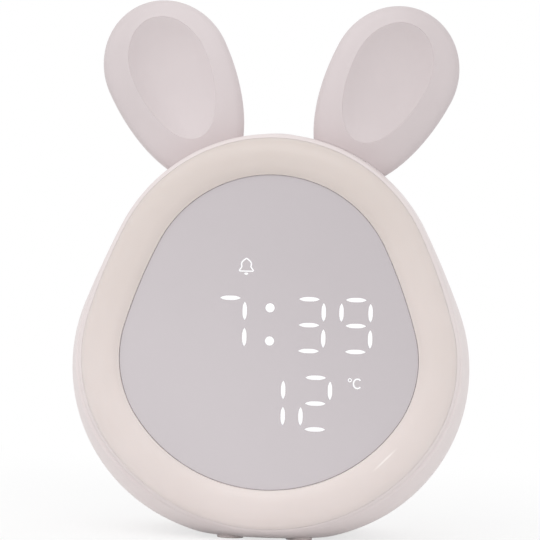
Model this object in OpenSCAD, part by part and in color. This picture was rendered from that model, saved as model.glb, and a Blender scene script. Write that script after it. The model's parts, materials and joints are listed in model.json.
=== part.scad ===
// Bunny-eared bedside alarm clock with a glowing face ring.
// +X is the clock's left-to-right as seen from the front, -Y faces the user, +Z is up.
// The origin is on the table, under the middle of the clock. All sizes are in millimetres.
// "Depth" below is a distance behind the crest of the light ring, which is the front-most line.

/* [Face outline] */
// Height of the centre of the face's top arc
face_top_z = 72.5; // [69:0.5:77]
// Radius of the window's top arc
face_top_r = 38; // [36:0.5:40]
// Sideways offset of the two lower corner arcs' centres
face_corner_x = 12; // [10:0.5:13]
// How far the corner arcs' centres lie below the top arc's centre
face_corner_drop = 17.5; // [16:0.5:19]
// Radius of the window's lower corner arcs
face_corner_r = 33; // [32:0.5:34]
// Radius of the window's long side arcs
face_side_r = 150; // [110:5:220]
// Radius of the window's bottom arc
face_base_r = 47.5; // [46.5:0.5:52]

/* [Light ring] */
// Width of the glowing ring, from the window's edge to its own outer edge
ring_w = 11.5; // [11:0.1:13]
// Distance of the ring's crest from the window's edge
ring_crest = 4.8; // [4:0.1:7]
// Wall of the moulded ring
ring_t = 1.8; // [1.4:0.1:2.2]
// How far the ring's outer edge falls behind its crest
ring_outer_fall = 3.2; // [2.4:0.1:4]
// How far the ring's inner edge falls behind its crest
ring_inner_fall = 2.2; // [1.4:0.1:2.4]
// Gap between the window's edge and the ring
window_gap = 0.15; // [0.1:0.05:0.4]

/* [Shells] */
// Depth of the body, from the ring's crest to the flat back
body_depth = 60; // [58:1:70]
// Wall of the two shells
wall = 2; // [1.8:0.1:2.4]
// Wall of the thin lip around the ring
lip_t = 1.1; // [0.8:0.05:1.4]
// Gap between the ring and the lip
ring_gap = 0.2; // [0.15:0.05:0.5]
// Depth of the front edge of the lip
lip_depth = 3.4; // [3:0.1:4]
// Depth of the plane where the front and rear shells meet, the body's widest section
part_depth = 22; // [21.5:0.5:24]
// How much the body swells between the lip and its widest section
swell = 2.1; // [1.2:0.1:2.6]
// How much less the body swells at its top than at its sides
neck = 0.9; // [0.3:0.1:1.4]
// How far the centre of its top arc lies below the face's
body_drop = 0.8; // [0:0.1:2]
// How much flatter its sides are than the face's
side_flattening = 107; // [80:5:140]
// How far the centres of its lower corners move in from the face's
corner_in = 3.2; // [2.5:0.1:4]
// How far the centres of its lower corners sink
corner_sink = 2.4; // [1.5:0.1:3]
// How much larger its lower corners' radius is than the face's
corner_swell = 4.3; // [3.5:0.1:5]
// How much flatter its foot is than the face's lower edge
base_flattening = 12.8; // [10:0.2:15]
// How far the back narrows all round
back_inset = 20; // [16:0.5:21]
// How far the back's outline sinks as it narrows
back_drop = 9; // [7:0.5:10]
// How square the body's back edge is, 2 being an ellipse
back_squareness = 2.5; // [2.2:0.1:3]
// Length of the tongue that keys the two shells
tongue_l = 1.4; // [1:0.1:2]

/* [Display] */
// Thickness of the mirror window
window_t = 2; // [1.5:0.1:2.5]
// Depth of the window's front face
window_depth = 2.6; // [2.4:0.1:3]
// Thickness of the foam tape behind the window
tape_t = 0.5; // [0.3:0.1:0.8]
// Height of a digit, between its top and bottom bars
digit_h = 15.6; // [14:0.2:17]
// Width of a digit, between its left and right bars
digit_w = 8.8; // [8:0.1:9.6]
// Distance from one digit to the next
digit_pitch = 14.1; // [13.2:0.1:14.6]
// Distance of the hour's and minute's inner digits from the colon
colon_gap = 11.8; // [11:0.1:12.5]
// Length of one light bar
bar_l = 6; // [5:0.1:6.4]
// Width of one light bar in its middle
bar_w = 1.45; // [1.2:0.05:1.7]
// Radius of a colon dot
dot_r = 1.35; // [1:0.05:1.6]
// Height of the middle of the time above the table
time_z = 66; // [64:0.5:68]
// Drop from the time row to the temperature row
row_drop = 23.5; // [22:0.5:24]
// Width of the digit block
block_w = 66; // [65:0.5:68]
// Thickness of the digit block
block_t = 7.9; // [7:0.1:9]

/* [Ears] */
// Tilt of each ear away from upright
ear_tilt = 26; // [24:0.5:28]
// Distance of the ear's widest line from the centre of the body's top arc
ear_reach = 79.8; // [77:0.2:83]
// Half width of an ear
ear_half_w = 19.4; // [18:0.2:21]
// Length of an ear above its widest line
ear_top_l = 20.8; // [19:0.2:24]
// Length of an ear below its widest line, partly hidden by the body
ear_low_l = 38; // [34:0.5:41]
// Thickness of an ear
ear_t = 13; // [11:0.5:14]
// Half width of the ear's dish
dish_half_w = 11.7; // [10:0.1:13]
// Length of the dish above the ear's widest line
dish_top_l = 15.4; // [13:0.2:17]
// Length of the dish below the ear's widest line
dish_low_l = 24.2; // [20:0.2:26]
// Depth of the dish
dish_d = 3.2; // [2:0.2:4.5]
// How far the dish lies nearer the middle of the clock than the ear does
dish_shift = 1; // [0:0.1:2]
// How much more upright the dish stands than the ear, in degrees
dish_turn = 1.5; // [0:0.5:3]
// How flat the ear's border is between its edge and the dish, 2 being an ellipse
ear_flatness = 7; // [3:0.5:9]
// Width of the ear's stem, which passes between the shells
stem_w = 12; // [10:0.5:13]
// Thickness of the ear's stem
stem_t = 6; // [5:0.5:7]

/* [Buttons] */
// Radius of the snooze and night-light button on top
snooze_r = 7.2; // [6:0.1:7.5]
// Travel of the snooze button
snooze_travel = 1; // [0.6:0.1:1.2]
// Radius of the four buttons on the back
key_r = 4.1; // [3.5:0.1:4.4]
// Distance between the back buttons
key_pitch = 15; // [14.6:0.2:15.4]
// Height of the back buttons above the table
key_z = 74; // [73:0.5:76]
// Travel of a back button
key_travel = 0.8; // [0.4:0.1:1]
// How far a back button stands proud of the back
key_proud = 0.8; // [0.4:0.1:1.2]
// Travel of the power slider
slider_travel = 2; // [1.5:0.1:2.5]

/* [Back features] */
// Height of the speaker's centre above the table
speaker_z = 50; // [49:0.5:50.5]
// Radius of the speaker
speaker_r = 14; // [12:0.5:14.5]
// Radius of a grille hole
grille_hole_r = 1; // [0.8:0.1:1.2]
// Distance between the grille's rings of holes
grille_pitch = 4; // [3.5:0.1:4.4]
// Height of the charging socket and the power switch above the table
port_z = 21; // [20:0.5:22]

/* [Feet, battery and screws] */
// Height that the feet stand proud of the base
foot_proud = 0.4; // [0.3:0.1:1.2]
// Radius of a foot
foot_r = 4; // [3.5:0.1:4.5]
// Width of the battery
battery_w = 34; // [28:1:35]
// Front-to-back length of the battery
battery_l = 22; // [18:1:25]
// Thickness of the battery
battery_t = 8.5; // [6:0.5:9]
// Radius of a case screw's shank
case_screw_r = 1.1; // [1:0.05:1.3]
// Radius of a small screw's shank
small_screw_r = 0.8; // [0.7:0.05:0.9]

/* [Clearances] */
// Clearance around parts that are fitted once
fit_gap = 0.2; // [0.1:0.05:0.3]
// Clearance around parts that slide
slide_gap = 0.25; // [0.15:0.05:0.35]
// Clearance around a screw in its own hole
thread_gap = 0.05; // [0.02:0.01:0.1]

/* [Hidden] */
$fn = 64;

// Colours, as the moulded parts and boards are seen.
SHELL_PINK = [0.86, 0.81, 0.81];
RING_MILK = [0.89, 0.84, 0.82];
MIRROR_GREY = [0.79, 0.77, 0.78];
INNER_WHITE = [0.93, 0.93, 0.92];
BOARD_GREEN = [0.13, 0.35, 0.24];
SCREW_STEEL = [0.6, 0.6, 0.62];
CHIP_BLACK = [0.12, 0.12, 0.13];
PAD_GREY = [0.35, 0.34, 0.35];

// Steps along the top, side, corner and bottom arcs of one half of an outline.
ARC_STEPS = [10, 5, 10, 6];

// Depths of the stack behind the ring, front to back.
front_y = -(body_depth + key_proud) / 2;
tape_depth = window_depth + window_t;
seat_depth = tape_depth + tape_t;
board_t = 1.6;
glow_board_t = 1.2;
led_h = 0.8;
frame_depth = seat_depth + 3.9;
frame_t = 2;
ledge_depth = frame_depth + frame_t;
ledge_t = 1.8;
block_depth = seat_depth + 0.4;
main_depth = block_depth + block_t;

// Grows of the face outline, outwards from the window's edge.
lip_grow = ring_w + ring_gap;
rim_grow = lip_grow + lip_t;
body_grow = rim_grow + swell;
seat_in_grow = -2.4;
seat_out_grow = 1.5;
ledge_grow = ring_w - 1.6;
skirt_t = 1.2;

base_z = foot_proud;

// The body's widest section has its top arc's centre here.
body_top_z = face_top_z - body_drop;
body_top_r = face_top_r + body_grow - neck;

// ---------- outline of the face: tangent arcs, top to bottom, then mirrored ----------

// [top z, top r, corner x, corner z, corner r, side r, base r] for the outline grown outwards by grow.
// share is how much of the body's own, fuller form it has, and drop sinks all of it.
function face_shape(grow, share = 0, drop = 0) = [
    face_top_z - drop,
    face_top_r + grow - neck * share,
    face_corner_x - corner_in * share,
    face_top_z - face_corner_drop - corner_sink * share - drop,
    face_corner_r + grow + corner_swell * share,
    face_side_r + grow + side_flattening * share,
    face_base_r + grow + base_flattening * share
];

// The side arc's centre: the point at (side r - top r) from the top arc's centre and
// (side r - corner r) from the corner arc's centre, on the far side of the middle.
function side_centre(s) =
    let (dx = s[2], dz = s[3] - s[0], d = norm([dx, dz]),
         a = s[5] - s[1], b = s[5] - s[4],
         k = (a * a - b * b + d * d) / (2 * d), h = sqrt(a * a - k * k))
    [(k * dx + h * dz) / d, s[0] + (k * dz - h * dx) / d];

function base_centre_z(s) = s[3] + sqrt(pow(s[6] - s[4], 2) - s[2] * s[2]);

function arc(cx, cz, r, from, to, steps) =
    [for (i = [0:steps - 1]) let (a = from + (to - from) * i / steps) [cx + r * cos(a), cz + r * sin(a)]];

// The right half, from the top point down to just before the lowest point.
function half_outline(s) =
    let (side = side_centre(s), base = base_centre_z(s),
         a1 = atan2(s[0] - side[1], -side[0]),
         a2 = atan2(s[3] - side[1], s[2] - side[0]),
         a3 = atan2(s[3] - base, s[2]))
    concat(arc(0, s[0], s[1], 90, a1, ARC_STEPS[0]),
           arc(side[0], side[1], s[5], a1, a2, ARC_STEPS[1]),
           arc(s[2], s[3], s[4], a2, a3, ARC_STEPS[2]),
           arc(0, base, s[6], a3, -90, ARC_STEPS[3]));

function outline(s) =
    let (right = half_outline(s), n = len(right), low = [0, base_centre_z(s) - s[6]])
    concat(right, [low], [for (i = [n - 1:-1:1]) [-right[i][0], right[i][1]]]);

module face_2d(grow) {
    polygon(outline(face_shape(grow)));
}

// A slab of the face outline between two depths. Its local +Z runs towards the front.
module face_slab(from, to) {
    translate([0, front_y + to, 0]) rotate([90, 0, 0]) linear_extrude(to - from) children();
}

// ---------- the body's outer surface ----------

function front_share(depth) = 1 - pow(1 - (depth - lip_depth) / (part_depth - lip_depth), 2);
function back_share(depth, skin) = (depth - part_depth) / (body_depth - skin - part_depth);
function back_round(t) = 1 - pow(max(0, 1 - pow(t, back_squareness)), 1 / back_squareness);

// The body's section at a depth, set in by skin. The flat base is where the outline would sink below it.
function body_shape(depth, skin) =
    depth <= part_depth
        ? let (f = front_share(depth)) face_shape(rim_grow + swell * f - skin, f, body_drop * f)
        : let (t = back_share(depth, skin))
          face_shape(body_grow - skin - (back_inset - 0.6 * skin) * back_round(t), 1,
                     body_drop + back_drop * pow(t, back_squareness));

function body_top_at(depth) = let (s = body_shape(depth, 0)) s[0] + s[1];

function section(shape, depth, floor_z) =
    [for (p = outline(shape)) [p[0], front_y + depth, max(p[1], floor_z)]];
function body_section(depth, skin) = section(body_shape(depth, skin), depth, base_z + skin);
function face_section(grow, depth) = section(face_shape(grow), depth, -1);

// ---------- lofts ----------

function quad_faces(a, b, n) =
    [for (i = [0:n - 1]) let (j = (i + 1) % n) each [[a + i, b + i, b + j], [a + i, b + j, a + j]]];

// A solid through closed sections of equal point counts, capped at both ends.
module loft(sections) {
    n = len(sections[0]);
    last = (len(sections) - 1) * n;
    walls = [for (k = [0:len(sections) - 2]) each quad_faces(k * n, (k + 1) * n, n)];
    caps = [for (i = [1:n - 2]) each [[0, i, i + 1], [last, last + i + 1, last + i]]];
    polyhedron(points = [for (s = sections) each s], faces = concat(walls, caps));
}

// A closed hoop through sections, where the last meets the first.
module hoop(sections) {
    n = len(sections[0]);
    count = len(sections);
    polyhedron(points = [for (s = sections) each s],
               faces = [for (k = [0:count - 1]) each quad_faces(k * n, ((k + 1) % count) * n, n)]);
}

// ---------- small shared shapes ----------

// A cylinder along +Y from one depth to another.
module rod(x, z, r, from, to) {
    translate([x, front_y + from, z]) rotate([-90, 0, 0]) cylinder(r = r, h = to - from);
}

// A box centred on x and z between two depths.
module block(x, z, w, h, from, to) {
    translate([x - w / 2, front_y + from, z - h / 2]) cube([w, to - from, h]);
}

// A slot with round ends, w wide and h high, between two depths.
module slot(x, z, w, h, from, to) {
    block(x, z, w - h, h, from, to);
    for (side = [-1, 1]) rod(x + side * (w - h) / 2, z, h / 2, from, to);
}

// Places children at both mirrored sides.
module both_sides() {
    children();
    mirror([1, 0, 0]) children();
}

// ---------- case screws ----------

CASE_SCREWS = [[26, 20], [12, 97]];
well_depth = 33;
web_t = 3;
boss_r = 3.6;
well_r = 3.1;
well_wall = 1.4;
screw_head_r = 2.6;
screw_head_t = 2;
case_screw_l = 13;

module at_case_screws() {
    for (p = CASE_SCREWS, side = [-1, 1]) translate([side * p[0], 0, p[1]]) children();
}

module case_screws() {
    color(SCREW_STEEL) at_case_screws() difference() {
        union() {
            rod(0, 0, case_screw_r, well_depth - case_screw_l, well_depth);
            rod(0, 0, screw_head_r, well_depth, well_depth + screw_head_t);
        }
        for (turn = [0, 90]) translate([0, front_y + well_depth + screw_head_t, 0]) rotate([0, turn, 0])
            cube([0.7, 2.4, 3], center = true);
    }
}

// ---------- ears ----------

ear_y = front_y + part_depth;
EAR_STEPS = 40;
stem_end = body_top_r - wall - 3.4;
flange_t = 2;
flange_grip = 2;

// One point of an egg: round the middle by angle, with its own length above and below.
function egg(a, half_w, top_l, low_l) = [half_w * sin(a), (cos(a) > 0 ? top_l : low_l) * cos(a)];
function ear_edge(a, inset) = egg(a, ear_half_w - inset, ear_top_l - inset, ear_low_l - inset);
function turned(p, angle) = [p[0] * cos(angle) - p[1] * sin(angle), p[0] * sin(angle) + p[1] * cos(angle)];
function dish_edge(a, size) =
    turned(size * egg(a, dish_half_w, dish_top_l, dish_low_l), dish_turn) - [dish_shift, 0];
function ear_ring(y, points) = [for (p = points) [p[0], y, ear_reach + p[1]]];
function ear_angles() = [for (i = [0:EAR_STEPS - 1]) 360 * i / EAR_STEPS];

// From the dish's middle, out over the rim, round the edge and to the middle of the back.
function ear_sections() =
    let (half = ear_t / 2, back_inset_l = 11)
    concat(
        [for (m = [0.12, 0.45, 0.75, 0.92]) ear_ring(-half + dish_d * (1 - m * m),
            [for (a = ear_angles()) dish_edge(a, m)])],
        [for (k = [1, 0.5, 0.3, 0.2, 0.12, 0.06, 0.02, 0])
            ear_ring(-half * sqrt(1 - pow(1 - k, ear_flatness)),
                [for (a = ear_angles()) ear_edge(a, 0) * (1 - k) + dish_edge(a, 1) * k])],
        [for (k = [0.05, 0.2, 0.5, 1]) ear_ring(half * sqrt(1 - pow(1 - k, 2)),
            [for (a = ear_angles()) ear_edge(a, back_inset_l * k)])]);

module in_ear_frame() {
    translate([0, ear_y, body_top_z]) rotate([0, ear_tilt, 0]) children();
}

// The stem's rounded bar along the ear's axis.
module stem_bar(w, t, from, to) {
    translate([0, 0, from]) linear_extrude(to - from) {
        square([w - t, t], center = true);
        for (side = [-1, 1]) translate([side * (w - t) / 2, 0]) circle(t / 2);
    }
}

module ear_slots(gap) {
    both_sides() in_ear_frame() stem_bar(stem_w + 2 * gap, stem_t + 2 * gap, stem_end - 2, body_top_r + 6);
}

module right_ear_body() {
    in_ear_frame() {
        difference() {
            loft(ear_sections());
            rotate([90, 0, 0]) cylinder(r = body_top_r + fit_gap, h = ear_t + 4, center = true, $fn = 120);
        }
        stem_bar(stem_w, stem_t, stem_end - 0.5, body_top_r + 2);
        stem_bar(stem_w + 2 * flange_grip, stem_t + 2 * flange_grip, stem_end - flange_t, stem_end);
    }
}

module right_ear() {
    color(SHELL_PINK) right_ear_body();
}

module left_ear() {
    color(SHELL_PINK) mirror([1, 0, 0]) right_ear_body();
}

// ---------- snooze button on top ----------

snooze_depth = part_depth + snooze_r + slide_gap + 2;
snooze_tilt = 8;
// The button's rim lies on the line between the shell's highest points before and behind it.
snooze_top_z = (body_top_at(snooze_depth - snooze_r) + body_top_at(snooze_depth + snooze_r)) / 2;
snooze_flange_z = -wall - 1.6;
snooze_flange_t = 1;
snooze_stem_z = snooze_flange_z - snooze_flange_t - 2;
snooze_switch_z = snooze_stem_z - snooze_travel - 0.1;
nub_h = 1;
switch_h = 3.5;
switch_w = 6;
nub_r = 1.75;
snooze_board_z = snooze_switch_z - nub_h - switch_h;
snooze_post_x = snooze_r + 4.2;
snooze_board_l = 2 * snooze_post_x + 7;
snooze_board_w = 10;

module in_snooze_frame() {
    translate([0, front_y + snooze_depth, snooze_top_z]) rotate([-snooze_tilt, 0, 0]) children();
}

module snooze_button() {
    edge = 0.5;
    crown = 0.45;
    dome = 0.3;
    stem_r = 2;
    flange_r = snooze_r + 1.4;
    color(SHELL_PINK) in_snooze_frame() rotate_extrude() polygon([
        [0, snooze_stem_z], [stem_r, snooze_stem_z], [stem_r, snooze_flange_z - snooze_flange_t],
        [flange_r, snooze_flange_z - snooze_flange_t], [flange_r, snooze_flange_z],
        [snooze_r, snooze_flange_z], [snooze_r, crown - 2 * edge], [snooze_r - edge / 3, crown - edge],
        [snooze_r - edge, crown - edge / 3], [snooze_r - 2.4 * edge, crown], [0, crown + dome]
    ]);
}

module tact_switch() {
    translate([0, 0, nub_h / 2]) cylinder(r = nub_r, h = nub_h, center = true);
    translate([-switch_w / 2, -switch_w / 2, -switch_h]) cube([switch_w, switch_w, switch_h]);
}

module snooze_switch() {
    color(CHIP_BLACK) in_snooze_frame() translate([0, 0, snooze_switch_z - nub_h]) tact_switch();
}

module snooze_board() {
    color(BOARD_GREEN) in_snooze_frame() difference() {
        translate([-snooze_board_l / 2, -snooze_board_w / 2, snooze_board_z - glow_board_t])
            cube([snooze_board_l, snooze_board_w, glow_board_t]);
        for (side = [-1, 1]) translate([side * snooze_post_x, 0, snooze_board_z - glow_board_t - 1])
            cylinder(r = small_screw_r + 0.3, h = glow_board_t + 2);
    }
}

// ---------- buttons on the back ----------

KEY_X = [-1.5, -0.5, 0.5, 1.5];
key_flange_t = 1;
key_flange_grip = 1.1;
back_in_depth = body_depth - wall;
key_flange_depth = back_in_depth - fit_gap - key_flange_t;
key_stem_depth = key_flange_depth - 2.2;
key_nub_depth = key_stem_depth - key_travel - 0.1;
key_board_depth = key_nub_depth - nub_h - switch_h - board_t;
key_board_w = 3 * key_pitch + 11;
key_board_h = 12;

module key_button(index) {
    edge = 0.5;
    top = body_depth + key_proud;
    color(SHELL_PINK) translate([KEY_X[index] * key_pitch, front_y, key_z])
        rotate([-90, 0, 0]) rotate_extrude()
        polygon([
            [0, key_stem_depth], [1.5, key_stem_depth], [1.5, key_flange_depth],
            [key_r + key_flange_grip, key_flange_depth],
            [key_r + key_flange_grip, key_flange_depth + key_flange_t],
            [key_r, key_flange_depth + key_flange_t], [key_r, top - edge], [key_r - edge / 3, top - edge / 3],
            [key_r - edge, top], [0, top]
        ]);
}

module key_switches() {
    color(CHIP_BLACK) for (k = KEY_X) translate([k * key_pitch, front_y + key_nub_depth - nub_h, key_z])
        rotate([-90, 0, 0]) tact_switch();
}

KEY_POSTS = [-1, 1];
post_r = 2.1;

module key_board() {
    color(BOARD_GREEN) difference() {
        block(0, key_z, key_board_w, key_board_h, key_board_depth, key_board_depth + board_t);
        for (side = KEY_POSTS)
            rod(side * key_pitch, key_z, small_screw_r + 0.3,
                key_board_depth - 1, key_board_depth + board_t + 1);
    }
}

// ---------- speaker ----------

basket_t = 3;
magnet_t = 4;
speaker_depth = back_in_depth - fit_gap;

module speaker_basket() {
    color(CHIP_BLACK) difference() {
        rod(0, speaker_z, speaker_r, speaker_depth - basket_t, speaker_depth);
        rod(0, speaker_z, speaker_r - 1.5, speaker_depth - basket_t + 1, speaker_depth + 1);
        rod(0, speaker_z, speaker_r / 2, speaker_depth - basket_t - 1, speaker_depth);
    }
}

// The shallow paper cone, hung from the basket's rim.
module speaker_cone() {
    rim = speaker_r - 1.5 - thread_gap;
    color(PAD_GREY) translate([0, front_y + speaker_depth, speaker_z]) rotate([-90, 0, 0]) rotate_extrude()
        polygon([
            [0, -1.4], [rim / 3, -1.6], [rim - 1.5, -0.7], [rim, -0.9],
            [rim, -0.5], [rim - 1.5, -0.3], [rim / 3, -1.2], [0, -1]
        ]);
}

module speaker_magnet() {
    color(SCREW_STEEL) rod(0, speaker_z, speaker_r / 2 + 1.5,
                           speaker_depth - basket_t - magnet_t, speaker_depth - basket_t);
}

module grille_holes() {
    rod(0, speaker_z, grille_hole_r, back_in_depth - 1, body_depth + 1);
    for (k = [1:2], i = [0:6 * k - 1]) let (a = 360 * i / (6 * k))
        rod(k * grille_pitch * sin(a), speaker_z + k * grille_pitch * cos(a), grille_hole_r,
            back_in_depth - 1, body_depth + 1);
}

// ---------- charging socket and power switch ----------

port_x = -8;
slider_x = 9;
usb_w = 9;
usb_h = 3.3;
usb_l = 6.6;
port_w = 13;
port_h = 7.4;
charge_board_depth = body_depth - 4.4 - usb_l - board_t;
charge_post_x = 18.7;
charge_board_h = 13;
socket_depth = charge_board_depth + board_t;
switch_body_l = 4;
slider_knob_w = 4.6;
slider_knob_h = 3.4;
slider_flange_t = 1;
slider_flange_depth = back_in_depth - fit_gap - slider_flange_t;
slider_grip = 1.3;

module charge_board() {
    color(BOARD_GREEN) difference() {
        block(0, port_z, 2 * charge_post_x + 5, charge_board_h, charge_board_depth, socket_depth);
        for (side = [-1, 1])
            rod(side * charge_post_x, port_z, small_screw_r + 0.3, charge_board_depth - 1, socket_depth + 1);
    }
}

module usb_socket() {
    shell_t = 0.3;
    color(SCREW_STEEL) {
        difference() {
            slot(port_x, port_z, usb_w, usb_h, socket_depth, socket_depth + usb_l);
            slot(port_x, port_z, usb_w - 2 * shell_t, usb_h - 2 * shell_t,
                 socket_depth + 1, socket_depth + usb_l + 1);
        }
        block(port_x, port_z, 6.7, 0.7, socket_depth + 0.5, socket_depth + usb_l - 0.8);
    }
}

// The lever stands at the left end of its travel at rest.
module power_switch() {
    color(SCREW_STEEL) difference() {
        block(slider_x, port_z, 8.7, 4.4, socket_depth, socket_depth + switch_body_l);
        block(slider_x, port_z, slider_travel + 1.5 + 2 * slide_gap, 1.6 + 2 * slide_gap,
              socket_depth + 1.5, socket_depth + switch_body_l + 1);
    }
}

module switch_lever() {
    color(CHIP_BLACK) block(slider_x - slider_travel / 2, port_z, 1.5, 1.6,
                            socket_depth + 1.5 + slide_gap, slider_flange_depth - 0.6);
}

module power_slider() {
    x = slider_x - slider_travel / 2;
    flange_w = slider_knob_w + 2 * slider_travel + 2 * slider_grip;
    color(SHELL_PINK) {
        block(x, port_z, flange_w, slider_knob_h + 2.4,
              slider_flange_depth, slider_flange_depth + slider_flange_t);
        block(x, port_z, slider_knob_w, slider_knob_h, slider_flange_depth, body_depth);
        for (rib = [-1, 0, 1])
            block(x + rib * 1.5, port_z, 0.7, slider_knob_h, body_depth - 0.5, body_depth + key_proud / 2);
        difference() {
            block(x, port_z, 3.6, 3.2, slider_flange_depth - 2.2, slider_flange_depth + 0.1);
            block(x, port_z, 1.5 + 2 * thread_gap, 1.6 + 2 * thread_gap,
                  slider_flange_depth - 3, slider_flange_depth - 0.5);
        }
    }
}

// ---------- battery and feet ----------

floor_z = base_z + wall;
pad_t = 0.8;
battery_depth = part_depth + 3;
rib_t = 1.2;
rib_end_gap = 4;
FEET = [[10.5, 16], [10.5, 48]];
foot_sunk = 1;

module battery_pad() {
    color(PAD_GREY) block(0, floor_z + pad_t / 2, 0.7 * battery_w, pad_t,
                          battery_depth + 1, battery_depth + battery_l - 1);
}

module battery() {
    edge = 1.5;
    color([0.75, 0.77, 0.8]) translate([0, front_y + battery_depth, floor_z + pad_t + battery_t / 2])
        rotate([-90, 0, 0]) linear_extrude(battery_l) {
            square([battery_w - 2 * edge, battery_t], center = true);
            square([battery_w, battery_t - 2 * edge], center = true);
            for (sx = [-1, 1], sz = [-1, 1])
                translate([sx * (battery_w / 2 - edge), sz * (battery_t / 2 - edge)]) circle(edge);
        }
}

module at_feet() {
    for (p = FEET, side = [-1, 1]) translate([side * p[0], front_y + p[1], 0]) children();
}

module foot_pads() {
    color(PAD_GREY) at_feet() cylinder(r = foot_r, h = foot_proud + foot_sunk);
}

module foot_recesses() {
    at_feet() cylinder(r = foot_r + fit_gap / 2, h = foot_proud + foot_sunk);
}

// ---------- shells ----------

// Outer surface, tongue, inner wall, the ledge that the frame sits on, and the lip round the ring.
function front_shell_sections() =
    let (steps = 6, span = part_depth - lip_depth, tongue_skin = wall / 2)
    concat(
        [for (i = [0:steps]) body_section(lip_depth + 0.4 + (span - 0.4) * i / steps, 0)],
        [for (d = [0, tongue_l]) body_section_at_part(part_depth + d, tongue_skin)],
        [body_section_at_part(part_depth + tongue_l, wall)],
        [for (i = [0:3]) body_section(part_depth - (part_depth - ledge_depth - ledge_t) * i / 3, wall)],
        [for (d = [ledge_depth + ledge_t, ledge_depth]) face_section(ledge_grow, d)],
        [for (d = [ledge_depth, lip_depth + 0.3]) face_section(lip_grow, d)],
        [face_section(lip_grow + lip_t / 4, lip_depth)],
        [face_section(lip_grow + 3 * lip_t / 4, lip_depth)]);

// The widest section carried straight back, for the tongue and its rabbet.
function body_section_at_part(depth, skin) = section(body_shape(part_depth, skin), depth, base_z + skin);

module front_shell() {
    color(SHELL_PINK) difference() {
        hoop(front_shell_sections());
        ear_slots(fit_gap);
        foot_recesses();
    }
}

// Inner back wall forward to the rabbet, then the outer surface from the parting plane to the flat back.
function rear_shell_sections() =
    let (steps = 10, rabbet_skin = wall / 2 - 0.15, rabbet_depth = part_depth + tongue_l + fit_gap,
         outer_span = body_depth - part_depth, inner_span = body_depth - wall - part_depth)
    concat(
        [for (i = [steps:-1:2]) body_section(part_depth + inner_span * sin(90 * i / steps), wall)],
        [body_section_at_part(rabbet_depth, wall)],
        [for (d = [rabbet_depth, part_depth]) body_section_at_part(d, rabbet_skin)],
        [for (i = [0:steps]) body_section(part_depth + outer_span * sin(90 * i / steps), 0)]);

// The screw wells, posts, ribs and the speaker's collar inside the rear shell.
module rear_shell_inner() {
    at_case_screws() rod(0, 0, well_r + well_wall, well_depth - web_t, back_in_depth + 0.5);
    for (side = KEY_POSTS)
        rod(side * key_pitch, key_z, post_r, key_board_depth + board_t, back_in_depth + 0.5);
    for (side = [-1, 1]) rod(side * charge_post_x, port_z, post_r, socket_depth, back_in_depth + 0.5);
    difference() {
        rod(0, speaker_z, speaker_r + fit_gap + 1.2, speaker_depth - basket_t, back_in_depth + 0.5);
        rod(0, speaker_z, speaker_r + fit_gap, speaker_depth - basket_t - 1, back_in_depth + 1);
    }
    in_snooze_frame() for (side = [-1, 1]) translate([side * snooze_post_x, 0, snooze_board_z])
        cylinder(r = post_r + 0.2, h = -snooze_board_z - wall / 2 - 1.1);
    both_sides() translate([battery_w / 2 + fit_gap, front_y + battery_depth + rib_end_gap, floor_z - 0.5])
        cube([rib_t, battery_l - 2 * rib_end_gap, 0.6 * battery_t]);
}

module rear_shell_cuts() {
    ear_slots(fit_gap);
    foot_recesses();
    grille_holes();
    in_snooze_frame() translate([0, 0, snooze_flange_z]) cylinder(r = snooze_r + slide_gap, h = 8);
    for (k = KEY_X) rod(k * key_pitch, key_z, key_r + slide_gap, back_in_depth - 0.5, body_depth + 1);
    slot(port_x, port_z, port_w, port_h, back_in_depth - 1, body_depth + 1);
    block(slider_x, port_z, slider_knob_w + slider_travel + 2 * slide_gap, slider_knob_h + 2 * slide_gap,
          back_in_depth - 1, body_depth + 1);
    at_case_screws() {
        rod(0, 0, well_r, well_depth, body_depth + 1);
        rod(0, 0, case_screw_r + 0.35, well_depth - web_t - 1, well_depth + 1);
    }
    for (side = KEY_POSTS)
        rod(side * key_pitch, key_z, small_screw_r + thread_gap, key_board_depth, key_board_depth + 8);
    for (side = [-1, 1])
        rod(side * charge_post_x, port_z, small_screw_r + thread_gap,
            charge_board_depth, charge_board_depth + 8);
    in_snooze_frame() for (side = [-1, 1]) translate([side * snooze_post_x, 0, snooze_board_z - 1])
        cylinder(r = small_screw_r + thread_gap, h = 6);
}

module rear_shell() {
    color(SHELL_PINK) difference() {
        union() {
            loft(rear_shell_sections());
            rear_shell_inner();
        }
        rear_shell_cuts();
    }
}

// ---------- light ring, window and frame ----------

RING_ROUNDNESS = 2.4;

// Fall of the ring's front surface behind its crest, at a grow outwards from the window's edge.
function ring_fall(g) =
    g > ring_crest
        ? ring_outer_fall * pow((g - ring_crest) / (ring_w - ring_crest), RING_ROUNDNESS)
        : ring_inner_fall * pow((ring_crest - g) / ring_crest, RING_ROUNDNESS);

function ring_sections() =
    let (steps = 10, inner = window_gap, under_in = window_gap + skirt_t, under_out = ring_w - skirt_t)
    concat(
        [for (i = [0:steps]) let (g = inner + (ring_w - inner) * i / steps) face_section(g, ring_fall(g))],
        [face_section(ring_w, frame_depth), face_section(under_out, frame_depth)],
        [for (i = [5:-1:0]) let (g = under_in + (under_out - under_in) * i / 5)
            face_section(g, ring_fall(g) + ring_t)],
        [face_section(under_in, seat_depth - 0.1), face_section(inner, seat_depth - 0.1)]);

module light_ring() {
    color(RING_MILK) hoop(ring_sections());
}

module display_window() {
    color(MIRROR_GREY) face_slab(window_depth, tape_depth) face_2d(0);
}

module window_tape() {
    color(CHIP_BLACK) face_slab(tape_depth, seat_depth) difference() {
        face_2d(-0.4);
        face_2d(seat_in_grow);
    }
}

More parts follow.
